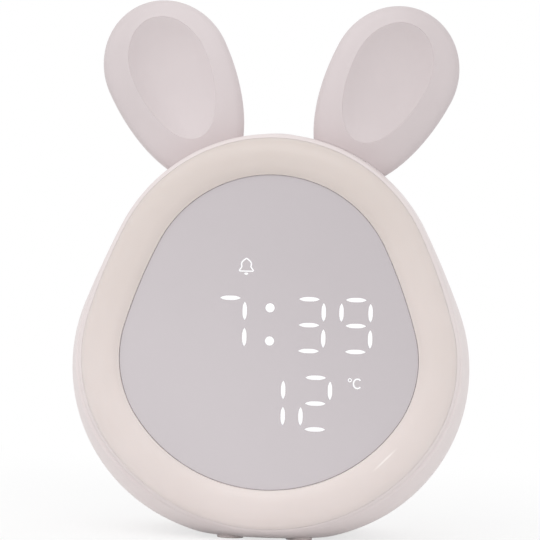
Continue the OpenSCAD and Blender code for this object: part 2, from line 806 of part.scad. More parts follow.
block_z = time_z - 5.5;
block_h = 57;
main_post_r = 2.6;
main_post_x = block_w / 2 + main_post_r + slide_gap;
main_w = 2 * main_post_x + 6;
main_h = block_h + 3;
main_post_z = block_h / 2 - 2.5;
MAIN_POSTS = [[main_post_x, main_post_z], [main_post_x, -main_post_z]];

module block_2d(gap) {
    intersection() {
        translate([0, block_z]) square([block_w + 2 * gap, block_h + 2 * gap], center = true);
        face_2d(seat_in_grow - 0.6 + gap);
    }
}

module at_main_posts() {
    for (p = MAIN_POSTS, side = [-1, 1]) translate([side * p[0], 0, block_z + p[1]]) children();
}

module front_frame() {
    color(INNER_WHITE) difference() {
        union() {
            face_slab(frame_depth, ledge_depth) face_2d(ring_w);
            face_slab(seat_depth, frame_depth + 0.5) face_2d(seat_out_grow);
            at_case_screws() rod(0, 0, boss_r, ledge_depth - 0.5, well_depth - web_t);
            at_main_posts() rod(0, 0, main_post_r, ledge_depth - 0.5, main_depth);
        }
        face_slab(seat_depth - 1, frame_depth) face_2d(seat_in_grow);
        face_slab(frame_depth - 1, ledge_depth + 1) block_2d(0.3);
        at_case_screws() rod(0, 0, case_screw_r + thread_gap, well_depth - case_screw_l - 1, well_depth);
        at_main_posts() rod(0, 0, small_screw_r + thread_gap, main_depth - 4.2, main_depth + 1);
    }
}

// ---------- glow board ----------

glow_in_grow = seat_out_grow + 0.4;
glow_out_grow = ring_w - skirt_t - 0.4;
led_grow = (glow_in_grow + glow_out_grow) / 2;

module glow_board() {
    color(INNER_WHITE) face_slab(frame_depth - glow_board_t, frame_depth) difference() {
        face_2d(glow_out_grow);
        face_2d(glow_in_grow);
    }
}

// One light every third point of the outline, turned along it.
module glow_leds() {
    line = outline(face_shape(led_grow));
    color([0.95, 0.9, 0.6]) for (i = [0:3:len(line) - 1]) {
        next = line[(i + 1) % len(line)];
        turn = atan2(next[1] - line[i][1], next[0] - line[i][0]);
        translate([line[i][0], front_y + frame_depth - glow_board_t - led_h, line[i][1]])
            rotate([0, -turn, 0])
            translate([-1.75, 0, -1.4]) cube([3.5, led_h, 2.8]);
    }
}

// ---------- digits ----------

DIGITS = [
    [-colon_gap - digit_pitch, 0], [-colon_gap, 0], [colon_gap, 0], [colon_gap + digit_pitch, 0],
    [0, -row_drop], [digit_pitch, -row_drop]
];
ICONS = [[-7, 17.2], [25.3, 6 - row_drop]];
icon_w = 5.4;

// A pointed light bar, where two circles overlap.
module bar_2d(grow) {
    l = bar_l / 2 + grow;
    w = bar_w / 2 + grow;
    r = (l * l + w * w) / (2 * w);
    intersection() {
        translate([0, r - w]) circle(r, $fn = 120);
        translate([0, w - r]) circle(r, $fn = 120);
    }
}

module bars_2d(grow) {
    for (d = DIGITS) translate([d[0], time_z + d[1]]) {
        for (row = [-1, 0, 1]) translate([0, row * digit_h / 2]) bar_2d(grow);
        for (side = [-1, 1], row = [-1, 1])
            translate([side * digit_w / 2, row * digit_h / 4]) rotate(90) bar_2d(grow);
    }
    for (dot = [-1, 1]) translate([0, time_z + dot * digit_h * 0.32]) circle(dot_r + grow);
    for (p = ICONS) translate([p[0], time_z + p[1]]) square(icon_w + 2 * grow, center = true);
}

module digit_block() {
    color(CHIP_BLACK) difference() {
        face_slab(block_depth, main_depth) block_2d(0);
        face_slab(block_depth - 1, main_depth - 1) bars_2d(thread_gap);
    }
}

module light_bars() {
    color([0.97, 0.97, 0.97]) face_slab(block_depth, main_depth - 1) bars_2d(0);
}

// ---------- main board ----------

main_back = main_depth + board_t;
chip_w = 10;
chip_t = 1.4;
chip_drop = 12;
pin_l = 1.2;
pin_w = 0.4;
pin_t = 0.6;
pin_pitch = 1;
socket_h = 5.8;
socket_t = 5;
ribbon_w = 12;
ribbon_t = 0.6;

module main_board() {
    color(BOARD_GREEN) difference() {
        block(0, block_z, main_w, main_h, main_depth, main_back);
        at_main_posts() rod(0, 0, small_screw_r + 0.3, main_depth - 1, main_back + 1);
    }
}

module control_chip() {
    chip_z = block_z - chip_drop;
    pin_x = (chip_w + pin_l) / 2;
    color(CHIP_BLACK) {
        block(0, chip_z, chip_w, chip_w, main_back, main_back + chip_t);
        for (side = [-1, 1], pin = [-4:4]) {
            block(side * pin_x, chip_z + pin * pin_pitch, pin_l, pin_w, main_back, main_back + pin_t);
            block(pin * pin_pitch, chip_z + side * pin_x, pin_w, pin_l, main_back, main_back + pin_t);
        }
    }
}

// One socket on the main board and one on the key board, facing each other.
module ribbon_socket() {
    color(INNER_WHITE) {
        block(0, key_z, ribbon_w + 3, socket_t, main_back, main_back + socket_h);
        block(0, key_z, ribbon_w + 3, socket_t, key_board_depth - socket_h, key_board_depth);
    }
}

// The flat cable hangs in one soft bow between the two sockets.
module ribbon_cable() {
    from = main_back + socket_h;
    span = key_board_depth - socket_h - from;
    bow = 6;
    steps = 16;
    line = [for (i = [0:steps])
        [front_y + from + span * i / steps, key_z - bow / 2 * (1 - cos(360 * i / steps))]];
    color([0.8, 0.8, 0.78]) translate([-ribbon_w / 2, 0, 0]) rotate([90, 0, 90]) linear_extrude(ribbon_w)
        polygon(concat([for (p = line) [p[0], p[1] + ribbon_t / 2]],
                       [for (i = [steps:-1:0]) [line[i][0], line[i][1] - ribbon_t / 2]]));
}

// ---------- small screws ----------

module small_screw(l) {
    translate([0, 0, -l]) cylinder(r = small_screw_r, h = l);
    cylinder(r = 1.8, h = 1.2);
}

module board_screws() {
    l = 5;
    color(SCREW_STEEL) {
        at_main_posts() translate([0, front_y + main_back, 0]) rotate([-90, 0, 0]) small_screw(l);
        for (side = KEY_POSTS) translate([side * key_pitch, front_y + key_board_depth, key_z])
            rotate([90, 0, 0]) small_screw(l);
        for (side = [-1, 1]) translate([side * charge_post_x, front_y + charge_board_depth, port_z])
            rotate([90, 0, 0]) small_screw(l);
        in_snooze_frame() for (side = [-1, 1])
            translate([side * snooze_post_x, 0, snooze_board_z - glow_board_t])
                rotate([180, 0, 0]) small_screw(l);
    }
}

front_shell();
rear_shell();
front_frame();
light_ring();
display_window();
window_tape();
glow_board();
glow_leds();
digit_block();
light_bars();
main_board();
control_chip();
ribbon_socket();
ribbon_cable();
left_ear();
right_ear();
snooze_button();
snooze_board();
snooze_switch();
key_button(0);  // set_button
key_button(1);  // down_button
key_button(2);  // up_button
key_button(3);  // alarm_button
key_board();
key_switches();
speaker_basket();
speaker_cone();
speaker_magnet();
charge_board();
usb_socket();
power_switch();
switch_lever();
power_slider();
battery();
battery_pad();
foot_pads();
case_screws();
board_screws();
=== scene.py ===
# %% [markdown]
# # A rabbit-eared bedside clock
# The clock is two satin plastic shells, a milky ring that glows at night, a grey half-mirror
# window and two soft ears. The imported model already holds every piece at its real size, but in
# flat facets and without colour. So this lesson rebuilds the curved mouldings from the same sizes,
# cuts their openings, lights the digits and gives each piece a finish. Blender counts in metres,
# and the sizes below are in millimetres.

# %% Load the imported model
import json
import math

import bmesh
import bpy
from mathutils import Matrix, Vector


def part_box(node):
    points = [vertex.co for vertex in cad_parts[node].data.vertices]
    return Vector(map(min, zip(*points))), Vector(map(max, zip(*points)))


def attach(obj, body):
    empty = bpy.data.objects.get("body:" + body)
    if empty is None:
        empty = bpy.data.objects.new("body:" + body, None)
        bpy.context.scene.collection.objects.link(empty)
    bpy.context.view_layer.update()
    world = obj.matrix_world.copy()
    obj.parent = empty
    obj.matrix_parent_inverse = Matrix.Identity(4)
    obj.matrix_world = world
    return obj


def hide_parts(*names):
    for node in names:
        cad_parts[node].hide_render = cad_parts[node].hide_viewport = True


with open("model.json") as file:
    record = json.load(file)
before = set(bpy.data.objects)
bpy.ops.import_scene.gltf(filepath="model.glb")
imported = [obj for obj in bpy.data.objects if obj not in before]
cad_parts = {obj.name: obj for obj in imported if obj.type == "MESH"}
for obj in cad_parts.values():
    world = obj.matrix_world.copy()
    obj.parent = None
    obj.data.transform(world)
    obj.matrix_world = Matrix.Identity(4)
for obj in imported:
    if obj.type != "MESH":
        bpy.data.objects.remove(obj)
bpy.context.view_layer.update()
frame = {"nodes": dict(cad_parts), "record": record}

# %% [markdown]
# ## The camera
# The clock is seen from about a metre away through a long lens, a little from its right and just
# above its middle. It stands slightly crooked in the view. Turning the clock would also turn its
# joints, so the camera rolls instead.

# %% Camera
MM = 0.001
AIM = Vector((-1.6 * MM, 0, 81.65 * MM))
CAMERA_SIDE_ANGLE = math.radians(2.3)
CAMERA_RISE = math.radians(1.5)
CAMERA_ROLL = math.radians(1.9)
CAMERA_DISTANCE = 1.0
FRAME_PIXELS = 540
PIXELS_PER_MM = 3.23
VIEW_WIDTH = FRAME_PIXELS / PIXELS_PER_MM * MM
SENSOR = 36.0
SEEN_AS_FAR_AS = 20

out = Vector((math.sin(CAMERA_SIDE_ANGLE) * math.cos(CAMERA_RISE),
              -math.cos(CAMERA_SIDE_ANGLE) * math.cos(CAMERA_RISE), math.sin(CAMERA_RISE)))
camera_data = bpy.data.cameras.new("camera")
camera_data.sensor_width = SENSOR
camera_data.lens = SENSOR * CAMERA_DISTANCE / VIEW_WIDTH
camera_data.clip_end = SEEN_AS_FAR_AS
camera = bpy.data.objects.new("camera", camera_data)
level = out.to_track_quat("Z", "Y").to_matrix().to_4x4()
roll = Matrix.Rotation(CAMERA_ROLL, 4, "Z")
camera.matrix_world = Matrix.Translation(AIM + out * CAMERA_DISTANCE) @ level @ roll
bpy.context.scene.collection.objects.link(camera)
bpy.context.scene.camera = camera
bpy.context.scene.view_settings.view_transform = "Standard"
print("camera lens:", round(camera_data.lens, 1), "mm")

# %% [markdown]
# ## A way to write materials
# A material is a graph of nodes. Linking them by hand is long and hard to read, so one small class
# wraps an output socket. Sums on it add Math nodes, and `node` adds anything else: its settings go
# in first, because some of them change which sockets a node has.

# %% A socket that can be calculated with
class Wire:
    def __init__(self, tree, socket):
        self.tree = tree
        self.socket = socket

    def node(self, kind, settings=None, inputs=None, output=0):
        node = self.tree.nodes.new(kind)
        for name, value in (settings or {}).items():
            setattr(node, name, value)
        for name, value in (inputs or {}).items():
            if isinstance(value, Wire):
                self.tree.links.new(value.socket, node.inputs[name])
            else:
                node.inputs[name].default_value = value
        return Wire(self.tree, node.outputs[output])

    def maths(self, operation, first, second):
        return self.node("ShaderNodeMath", {"operation": operation}, {0: first, 1: second})

    def __add__(self, other):
        return self.maths("ADD", self, other)

    __radd__ = __add__

    def __sub__(self, other):
        return self.maths("SUBTRACT", self, other)

    def __rsub__(self, other):
        return self.maths("SUBTRACT", other, self)

    def __mul__(self, other):
        return self.maths("MULTIPLY", self, other)

    __rmul__ = __mul__

    def __abs__(self):
        return self.maths("ABSOLUTE", self, 0)

    def over(self, low, high):
        """0 below low, 1 above high, and smooth in between."""
        return self.node("ShaderNodeMapRange", {"interpolation_type": "SMOOTHSTEP"},
                         {"Value": self, "From Min": low, "From Max": high})

    def axis(self, name):
        return self.node("ShaderNodeSeparateXYZ", inputs={0: self}, output="XYZ".index(name))

    def noise(self, grain, detail=2.0):
        """Cloudy noise from 0 to 1, whose blobs are about grain across."""
        return self.node(
            "ShaderNodeTexNoise", inputs={"Vector": self, "Scale": 1 / grain, "Detail": detail})

    def blend(self, low, high):
        """A colour that goes from low to high as this wire goes from 0 to 1."""
        return self.node("ShaderNodeMix", {"data_type": "RGBA"},
                         {"Factor": self, 6: low, 7: high}, output=2)

    def bump(self, height, strength=1.0):
        """A normal that is pushed about by this wire, which stands for height metres."""
        return self.node(
            "ShaderNodeBump", inputs={"Height": self, "Distance": height, "Strength": strength})


print("Wire is ready")

# %% [markdown]
# ## Starting a finish
# Every finish starts from the Principled shader. What is the same all over the surface is set on
# the shader's own sockets, and only what changes over the surface is fed by a wire. Colours are
# written as they look on a screen, from 0 to 255, and turned to linear light here.

# %% Colours and new finishes
def screen(red, green, blue):
    def linear(level):
        share = level / 255
        return share / 12.92 if share <= 0.04045 else ((share + 0.055) / 1.055) ** 2.4
    return (linear(red), linear(green), linear(blue), 1.0)


def new_finish(name, **constants):
    """A material, its shader and a wire that carries the place on the object."""
    material = bpy.data.materials.new(name)
    material.use_nodes = True
    tree = material.node_tree
    shader = tree.nodes["Principled BSDF"]
    for socket, value in constants.items():
        shader.inputs[socket.replace("_", " ")].default_value = value
    place = Wire(tree, tree.nodes.new("ShaderNodeTexCoord").outputs["Object"])
    return material, shader, place


def feed(shader, **wires):
    for socket, wire in wires.items():
        wire.tree.links.new(wire.socket, shader.inputs[socket.replace("_", " ")])


print("white is", screen(255, 255, 255))

# %% [markdown]
# ## Moulded plastic
# A moulded part copies the skin of its steel mould: a very fine sparkle that breaks up the gloss.
# Its colour drifts a little as the melt cools, and painted shade darkens it just above the table.
# A painted texture could hold all that, but it blurs close up and needs the mesh unwrapped, so
# noise on the object's own coordinates does it.

# %% Plastic finishes
DRIFT_GRAIN = 26 * MM
PAINTED_SHADE_HEIGHT = 9 * MM
POLISH_GRAIN = 9 * MM
POLISH_SPREAD = 0.1
SKIN_GRAIN = 0.35 * MM
SKIN_HEIGHT = 0.004 * MM
SKIN_STRENGTH = 0.6


def plastic(name, colour, shade, roughness, grain=SKIN_GRAIN, foot=0.0, **constants):
    """shade is the darker colour, and foot the strength of painted shade just above the table."""
    material, shader, place = new_finish(name, **constants)
    drift = place.noise(DRIFT_GRAIN, 3).over(0.35, 0.7)
    # Painted shade: the colour darkens over the last few millimetres above the table.
    painted_table_shade = 1 - place.axis("Z").over(0, PAINTED_SHADE_HEIGHT)
    mask = drift * 0.3 + painted_table_shade * foot
    polish = place.noise(POLISH_GRAIN) * POLISH_SPREAD + (roughness - POLISH_SPREAD / 2)
    skin = place.noise(grain, 3).bump(SKIN_HEIGHT, SKIN_STRENGTH)
    feed(shader, Base_Color=mask.blend(colour, shade), Roughness=polish, Normal=skin)
    return material


shell_finish = plastic("shell_satin", screen(229, 219, 218), screen(221, 210, 210), 0.46,
                       foot=0.5, Coat_Weight=0.08, Coat_Roughness=0.3)
button_finish = plastic("button_satin", screen(229, 220, 221), screen(217, 206, 207), 0.4)
inner_finish = plastic("inner_white", screen(240, 238, 236), screen(228, 226, 223), 0.5)
black_finish = plastic("black_moulding", screen(40, 40, 43), screen(30, 30, 33), 0.5)
foot_finish = plastic("foot_rubber", screen(230, 220, 219), screen(218, 208, 207), 0.8,
                      grain=0.8 * MM)
print("plastic finishes: 5")

# %% [markdown]
# ## Soft silicone
# The ears are silicone, which has no gloss but a faint velvety sheen. Painted shade darkens their
# outer sides, those of the right ear more, and a little of their root next to the body. This could
# be painted by hand on each ear, but two smooth ramps, one over the width and one over the height,
# do it for both at once.

# %% Ear finish
SIDE_SHADE_SHIFT = 8 * MM
SIDE_SHADE_FROM, SIDE_SHADE_TO = 10 * MM, 55 * MM
ROOT_Z, TIP_Z = 108 * MM, 165 * MM
ear_finish, shader, place = new_finish("ear_silicone", Sheen_Weight=0.1, Sheen_Roughness=0.5)
# Painted shade: darker on the ears' outer sides, more on the right ear, and a little at the root.
painted_side_shade = abs(place.axis("X") + SIDE_SHADE_SHIFT).over(SIDE_SHADE_FROM, SIDE_SHADE_TO)
painted_root_shade = 1 - place.axis("Z").over(ROOT_Z, TIP_Z)
cloud = place.noise(24 * MM, 3).over(0.35, 0.7)
mask = painted_side_shade * 0.55 + painted_root_shade * 0.1 + cloud * 0.15
feed(shader, Base_Color=mask.blend(screen(218, 208, 209), screen(201, 191, 192)),
     Roughness=place.noise(POLISH_GRAIN) * POLISH_SPREAD + 0.6,
     Normal=place.noise(0.5 * MM, 3).bump(SKIN_HEIGHT, SKIN_STRENGTH))
print("ear finish: silicone")

# %% [markdown]
# ## The milky ring
# The ring scatters the light that it lets through, so it looks creamy under a soft gloss. Its
# colour is paler towards the bottom and darker towards the top, which is painted light and shade.
# A clear body filled with fog would be the true way, but it is slow and noisy, so light that
# spreads just under the skin gives the softness and a thin coat the gloss.
# One short pale streak on it is a painted highlight, the reflection of a thin light. It has no
# depth, so it is drawn in the colour, in coordinates that are turned to lie along it.

# %% Ring finish
RING_HEAD_Z = 140 * MM
HIGHLIGHT_X, HIGHLIGHT_Z = 36.0 * MM, 26.5 * MM
HIGHLIGHT_ANGLE = math.radians(46)
HIGHLIGHT_CORE, HIGHLIGHT_END = 1 * MM, 6 * MM
HIGHLIGHT_HALF_W = 0.45 * MM
HIGHLIGHT_STRENGTH = 0.7
ring_finish, shader, place = new_finish(
    "ring_milk", Subsurface_Weight=0.3, Subsurface_Radius=(2.0, 1.8, 1.7),
    Subsurface_Scale=1 * MM, Coat_Weight=0.2, Coat_Roughness=0.2, IOR=1.49)
# Painted light and shade: the ring is paler at the bottom and darker at the top.
height = place.axis("Z").over(0, RING_HEAD_Z)
cloud = place.noise(30 * MM, 2).over(0.3, 0.7)
milk = (height * 0.85 + cloud * 0.15).blend(screen(232, 221, 218), screen(212, 201, 195))
# Painted highlight: one short pale streak on the ring, the reflection of a thin light.
along_highlight = place.node(
    "ShaderNodeMapping", {"vector_type": "TEXTURE"},
    {"Vector": place, "Location": (HIGHLIGHT_X, 0, HIGHLIGHT_Z), "Rotation": (0, -HIGHLIGHT_ANGLE, 0)})
along, across = along_highlight.axis("X"), along_highlight.axis("Z")
painted_highlight = (1 - abs(along).over(HIGHLIGHT_CORE, HIGHLIGHT_END)) * (1 - abs(across).over(0, HIGHLIGHT_HALF_W))
feed(shader, Base_Color=(painted_highlight * HIGHLIGHT_STRENGTH).blend(milk, screen(255, 248, 245)),
     Roughness=place.noise(12 * MM) * 0.08 + 0.42,
     Normal=place.noise(0.8 * MM, 2).bump(0.003 * MM, 0.4))
print("ring finish: milky, with a painted highlight", round(2 * HIGHLIGHT_END / MM), "mm long")

# %% [markdown]
# ## The half mirror
# The window is clear acrylic with a thin metal coating behind it, so it reflects most of the room
# and hides the dark parts until they light. Two surfaces, one clear and one metal, would be the
# true way, but then all that is behind them has to be lit too. Here one shader is part metal and
# part grey, under a glossy coat. Its colour darkens towards the upper right in a slanting drift,
# which is a painted reflection, and the sheet is never quite flat, which a long soft bump shows.

# %% Window finish
SLANT_FROM, SLANT_TO = 10 * MM, 120 * MM
mirror_finish, shader, place = new_finish(
    "half_mirror", Metallic=0.55, Coat_Weight=0.4, Coat_Roughness=0.03)
# Painted reflection: the window's colour darkens towards the upper right.
painted_reflection_slant = (place.axis("X") + place.axis("Z")).over(SLANT_FROM, SLANT_TO)
haze = place.noise(40 * MM, 2).over(0.3, 0.75)
haze_and_painted_reflection = (painted_reflection_slant * 0.85 + haze * 0.15).blend(screen(206, 199, 202), screen(196, 189, 192))
feed(shader, Base_Color=haze_and_painted_reflection, Roughness=place.noise(25 * MM) * 0.06 + 0.12,
     Normal=place.noise(35 * MM, 1).bump(0.02 * MM, 0.3))
print("window finish: half mirror")

# %% [markdown]
# ## Light from behind the window
# A lit bar shines through the coating as an even soft white. A small lamp behind each would be the
# true way, but many small lamps make a noisy render, so the surface itself gives off light. Its own
# colour is a middle grey, so that the room's light and its own add up to white and not past it.

# %% Lit finish
LIT_STRENGTH = 0.85
lit_finish, shader, place = new_finish(
    "lit_bars", Base_Color=screen(120, 120, 120), Roughness=0.4, Emission_Strength=LIT_STRENGTH)
glimmer = place.noise(6 * MM).blend(screen(255, 255, 255), screen(252, 252, 255))
feed(shader, Emission_Color=glimmer)
print("lit finish: strength", LIT_STRENGTH)

# %% [markdown]
# ## Circuit boards and battery
# The inner pieces only show when the clock is open, but each still gets its real finish. A board is
# green solder mask with a hint of copper tracks under it. Tracks could be modelled as ridges, but
# they are thinner than a hair, so a brick pattern with thin joints draws them. The battery is in
# shrink wrap, whose fine wrinkles are a distorted wave.

# %% Board and battery finishes
board_finish, shader, place = new_finish("circuit_board", Coat_Weight=0.4, Coat_Roughness=0.2)
on_board = place.node(
    "ShaderNodeMapping", inputs={"Vector": place, "Rotation": (math.pi / 2, 0, 0)})
tracks = on_board.node(
    "ShaderNodeTexBrick", {"offset": 0.35},
    {"Vector": on_board, "Scale": 160.0, "Mortar Size": 0.04}, output=1)
copper = tracks * 0.6 + place.noise(8 * MM) * 0.2
feed(shader, Base_Color=copper.blend(screen(24, 92, 62), screen(70, 140, 92)),
     Roughness=place.noise(3 * MM) * 0.15 + 0.3, Normal=tracks.bump(0.03 * MM))

wrap_finish, shader, place = new_finish("battery_wrap", Coat_Weight=0.5, Coat_Roughness=0.15)
wrinkles = place.node("ShaderNodeTexWave", inputs={
    "Vector": place, "Scale": 90.0, "Distortion": 6.0, "Detail": 2.0})
feed(shader, Base_Color=wrinkles.blend(screen(188, 193, 200), screen(204, 208, 214)),
     Roughness=wrinkles * 0.15 + 0.25, Normal=wrinkles.bump(0.05 * MM, 0.5))
print("finishes: board and battery")

# %% [markdown]
# ## Paper, steel and foam
# The speaker's cone is pressed paper, whose fibres are noise with much detail. Plated steel keeps
# the fine lines of the rolling mill: a wave pattern would repeat, so they are noise that is pressed
# together along one direction. Foam is a heap of small cells, and so is a Voronoi pattern.

# %% Paper, steel and foam finishes
paper_finish, shader, place = new_finish("speaker_paper")
fibres = place.noise(0.6 * MM, 6)
feed(shader, Base_Color=fibres.blend(screen(74, 71, 72), screen(98, 95, 95)),
     Roughness=fibres * 0.1 + 0.8, Normal=fibres.bump(0.05 * MM))

steel_finish, shader, place = new_finish("plated_steel", Metallic=1.0)
stretched = place.node("ShaderNodeMapping", inputs={"Vector": place, "Scale": (1, 12, 1)})
lines = stretched.noise(0.5 * MM, 3)
feed(shader, Base_Color=lines.blend(screen(186, 186, 189), screen(206, 206, 209)),
     Roughness=lines * 0.15 + 0.22, Normal=lines.bump(0.004 * MM, 0.5))

foam_finish, shader, place = new_finish("foam")
cells = place.node("ShaderNodeTexVoronoi", inputs={"Vector": place, "Scale": 2200.0})
feed(shader, Base_Color=cells.blend(screen(84, 82, 84), screen(112, 109, 110)),
     Roughness=cells * 0.1 + 0.85, Normal=cells.bump(0.08 * MM))
print("finishes: paper, steel and foam")

# %% [markdown]
# ## Ribbon, small lights and light guides
# A ribbon cable is a row of thin wires, so its height goes up and down once for each: a coordinate
# that is folded back and forth does that without a mesh as fine as the wires. A small white light
# is a chip under grainy yellow phosphor, and a light guide is slightly milky clear plastic.

# %% Ribbon, light and guide finishes
WIRE_PITCH = 0.5 * MM
ribbon_finish, shader, place = new_finish("ribbon_cable")
ribbon_wave = place.axis("X").maths("PINGPONG", place.axis("X"), WIRE_PITCH) * (1 / WIRE_PITCH)
feed(shader,
     Base_Color=ribbon_wave.over(0.3, 0.6).blend(screen(196, 196, 194), screen(216, 216, 213)),
     Roughness=ribbon_wave * 0.1 + 0.5, Normal=ribbon_wave.bump(0.1 * MM))

led_finish, shader, place = new_finish("led_phosphor", Coat_Weight=0.6, Coat_Roughness=0.1)
phosphor = place.noise(0.4 * MM, 3)
feed(shader, Base_Color=phosphor.blend(screen(238, 222, 140), screen(248, 238, 178)),
     Roughness=phosphor * 0.2 + 0.3)

guide_finish, shader, place = new_finish(
    "light_guide", Subsurface_Weight=0.2, Subsurface_Scale=1 * MM, Coat_Weight=0.5)
feed(shader, Base_Color=place.noise(2 * MM).blend(screen(246, 246, 246), screen(238, 240, 242)),
     Roughness=place.noise(1 * MM) * 0.1 + 0.2)
print("finishes: ribbon, light and guide")

# %% [markdown]
# ## The outline that every moulding shares
# Seen from the front, the window, the ring and the body are one shape at different sizes: seven
# numbers give a top arc, two long side arcs, two corner arcs and a bottom arc that run into each
# other without a kink. A spline would bulge between its points when it is offset, and arcs stay
# true at every size. `grow` says how far outside the window's edge an outline lies. `share` goes
# from 0 at the face to 1 at the body's widest section, which has a narrower neck, flatter sides,
# fuller corners and a flatter base.

# %% Driving sizes, in millimetres
FACE_TOP_Z = 72.5
FACE_TOP_R = 38.0
FACE_CORNER_X = 12.0
FACE_CORNER_DROP = 17.5
FACE_CORNER_R = 33.0
FACE_SIDE_R = 150.0
FACE_BASE_R = 47.5
NECK = 0.9
BODY_DROP = 0.8
SIDE_FLATTENING = 107.0
CORNER_IN = 3.2
CORNER_SINK = 2.4
CORNER_SWELL = 4.3
BASE_FLATTENING = 12.8
ARC_STEPS = (26, 18, 26, 20)
FRONT_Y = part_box("light_ring")[0][1] / MM
BACK_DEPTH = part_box("rear_shell")[1][1] / MM - FRONT_Y
print("body depth:", round(BACK_DEPTH, 1), "mm")

# %% The outline
def face_outline(grow, share=0.0, drop=0.0):
    """The outline's points (x, z), from the top round by the right side."""
    top_z, top_r = FACE_TOP_Z - drop, FACE_TOP_R + grow - NECK * share
    corner_x = FACE_CORNER_X - CORNER_IN * share
    corner_z = FACE_TOP_Z - FACE_CORNER_DROP - CORNER_SINK * share - drop
    corner_r = FACE_CORNER_R + grow + CORNER_SWELL * share
    side_r = FACE_SIDE_R + grow + SIDE_FLATTENING * share
    base_r = FACE_BASE_R + grow + BASE_FLATTENING * share
    fall = corner_z - top_z
    apart = math.hypot(corner_x, fall)
    along = ((side_r - top_r) ** 2 - (side_r - corner_r) ** 2 + apart ** 2) / (2 * apart)
    across = math.sqrt((side_r - top_r) ** 2 - along ** 2)
    side = ((along * corner_x + across * fall) / apart,
            top_z + (along * fall - across * corner_x) / apart)
    base_z = corner_z + math.sqrt((base_r - corner_r) ** 2 - corner_x ** 2)
    shoulder = math.atan2(top_z - side[1], -side[0])
    flank = math.atan2(corner_z - side[1], corner_x - side[0])
    heel = math.atan2(corner_z - base_z, corner_x)
    arcs = ((0, top_z, top_r, math.pi / 2, shoulder), (*side, side_r, shoulder, flank),
            (corner_x, corner_z, corner_r, flank, heel), (0, base_z, base_r, heel, -math.pi / 2))
    right = [(x + r * math.cos(a + (b - a) * i / steps), z + r * math.sin(a + (b - a) * i / steps))
             for (x, z, r, a, b), steps in zip(arcs, ARC_STEPS) for i in range(steps)]
    return right + [(0, base_z - base_r)] + [(-x, z) for x, z in reversed(right[1:])]


print("outline points:", len(face_outline(0)))

# %% [markdown]
# ## Loops of the face and of the body
# A loop is the outline at one depth behind the ring's crest. The window sits a little high in the
# ring, so the loops near it are lifted and let out by fractions of a millimetre. Behind the thin
# lip round the ring the body swells to its widest where the two shells meet, and then narrows to a
# flat back along a squarish curve. Where it stands, it is pressed flat and rounds softly into the
# flat. A subdivided box could be pulled into this shape by eye, but then the wall inside it
# couldn't follow, so both skins come from one function.

# %% Loops of the face
RING_W = 11.5
WINDOW_LIFT = 0.43
WINDOW_SPREAD = 0.11


def face_loop(grow, depth):
    """A loop of the face: the nearer to the window, the further it is lifted and let out."""
    nearness = min(1, max(0, 1 - grow / RING_W))
    return [Vector((x, FRONT_Y + depth, z + WINDOW_LIFT * nearness)) * MM
            for x, z in face_outline(grow + WINDOW_SPREAD * nearness)]


print("window width:", round(2 * max(p.x for p in face_loop(0, 0)) / MM, 1), "mm")

# %% Sections of the body
LIP_GROW = 11.7
RIM_GROW = 12.8
SWELL = 1.99
LIP_DEPTH = 3.4
PART_DEPTH = 22.0
BACK_INSET = 20.0
BACK_FALL = 9.0
SQUARENESS = 2.5
INNER_EASE = 0.6
WALL = 2.0
FOOT_Z = 0.4
FOOT_ROUND = 0.4
FAR_ABOVE = 30


def soft_floor(z, floor):
    """z, but never below floor, with a rounded turn where they meet."""
    rise = (z - floor) / FOOT_ROUND
    return floor + FOOT_ROUND * (rise if rise > FAR_ABOVE else math.log1p(math.exp(rise)))


def body_loop(depth, skin=0.0, edge=0.0):
    """The outline at a depth, set in by skin from the surface, and by edge at a rounded rim."""
    if depth <= PART_DEPTH:
        share = 1 - (1 - (depth - LIP_DEPTH) / (PART_DEPTH - LIP_DEPTH)) ** 2
        points = face_outline(RIM_GROW + SWELL * share - skin - edge, share, BODY_DROP * share)
    else:
        along = min(1.0, (depth - PART_DEPTH) / (BACK_DEPTH - skin - PART_DEPTH))
        turn = 1 - max(0.0, 1 - along ** SQUARENESS) ** (1 / SQUARENESS)
        inset = (BACK_INSET - INNER_EASE * skin) * turn
        points = face_outline(RIM_GROW + SWELL - skin - edge - inset, 1,
                              BODY_DROP + BACK_FALL * along ** SQUARENESS)
    floor = FOOT_Z + skin + edge
    return [Vector((x, FRONT_Y + depth, soft_floor(z, floor))) * MM for x, z in points]


print("widest half:", round(max(p.x for p in body_loop(PART_DEPTH)) / MM, 1), "mm")

# %% [markdown]
# ## Lofting
# A loft is a row of loops with quads between them. It starts as a circle, whose vertices are moved
# onto the first outline. Extruding its edges makes the next loop, whose vertices move on to the
# next outline, and so on. Bridging finished loops is shorter, but it pairs the vertices by itself
# and can leave a wall out where two loops lie in one plane. The ends are merged into a hoop or
# closed with a flat cap.

# %% Loft
MERGE = 1e-7


def finished_mesh(name, bm):
    mesh = bpy.data.meshes.new(name)
    bm.to_mesh(mesh)
    bm.free()
    return mesh


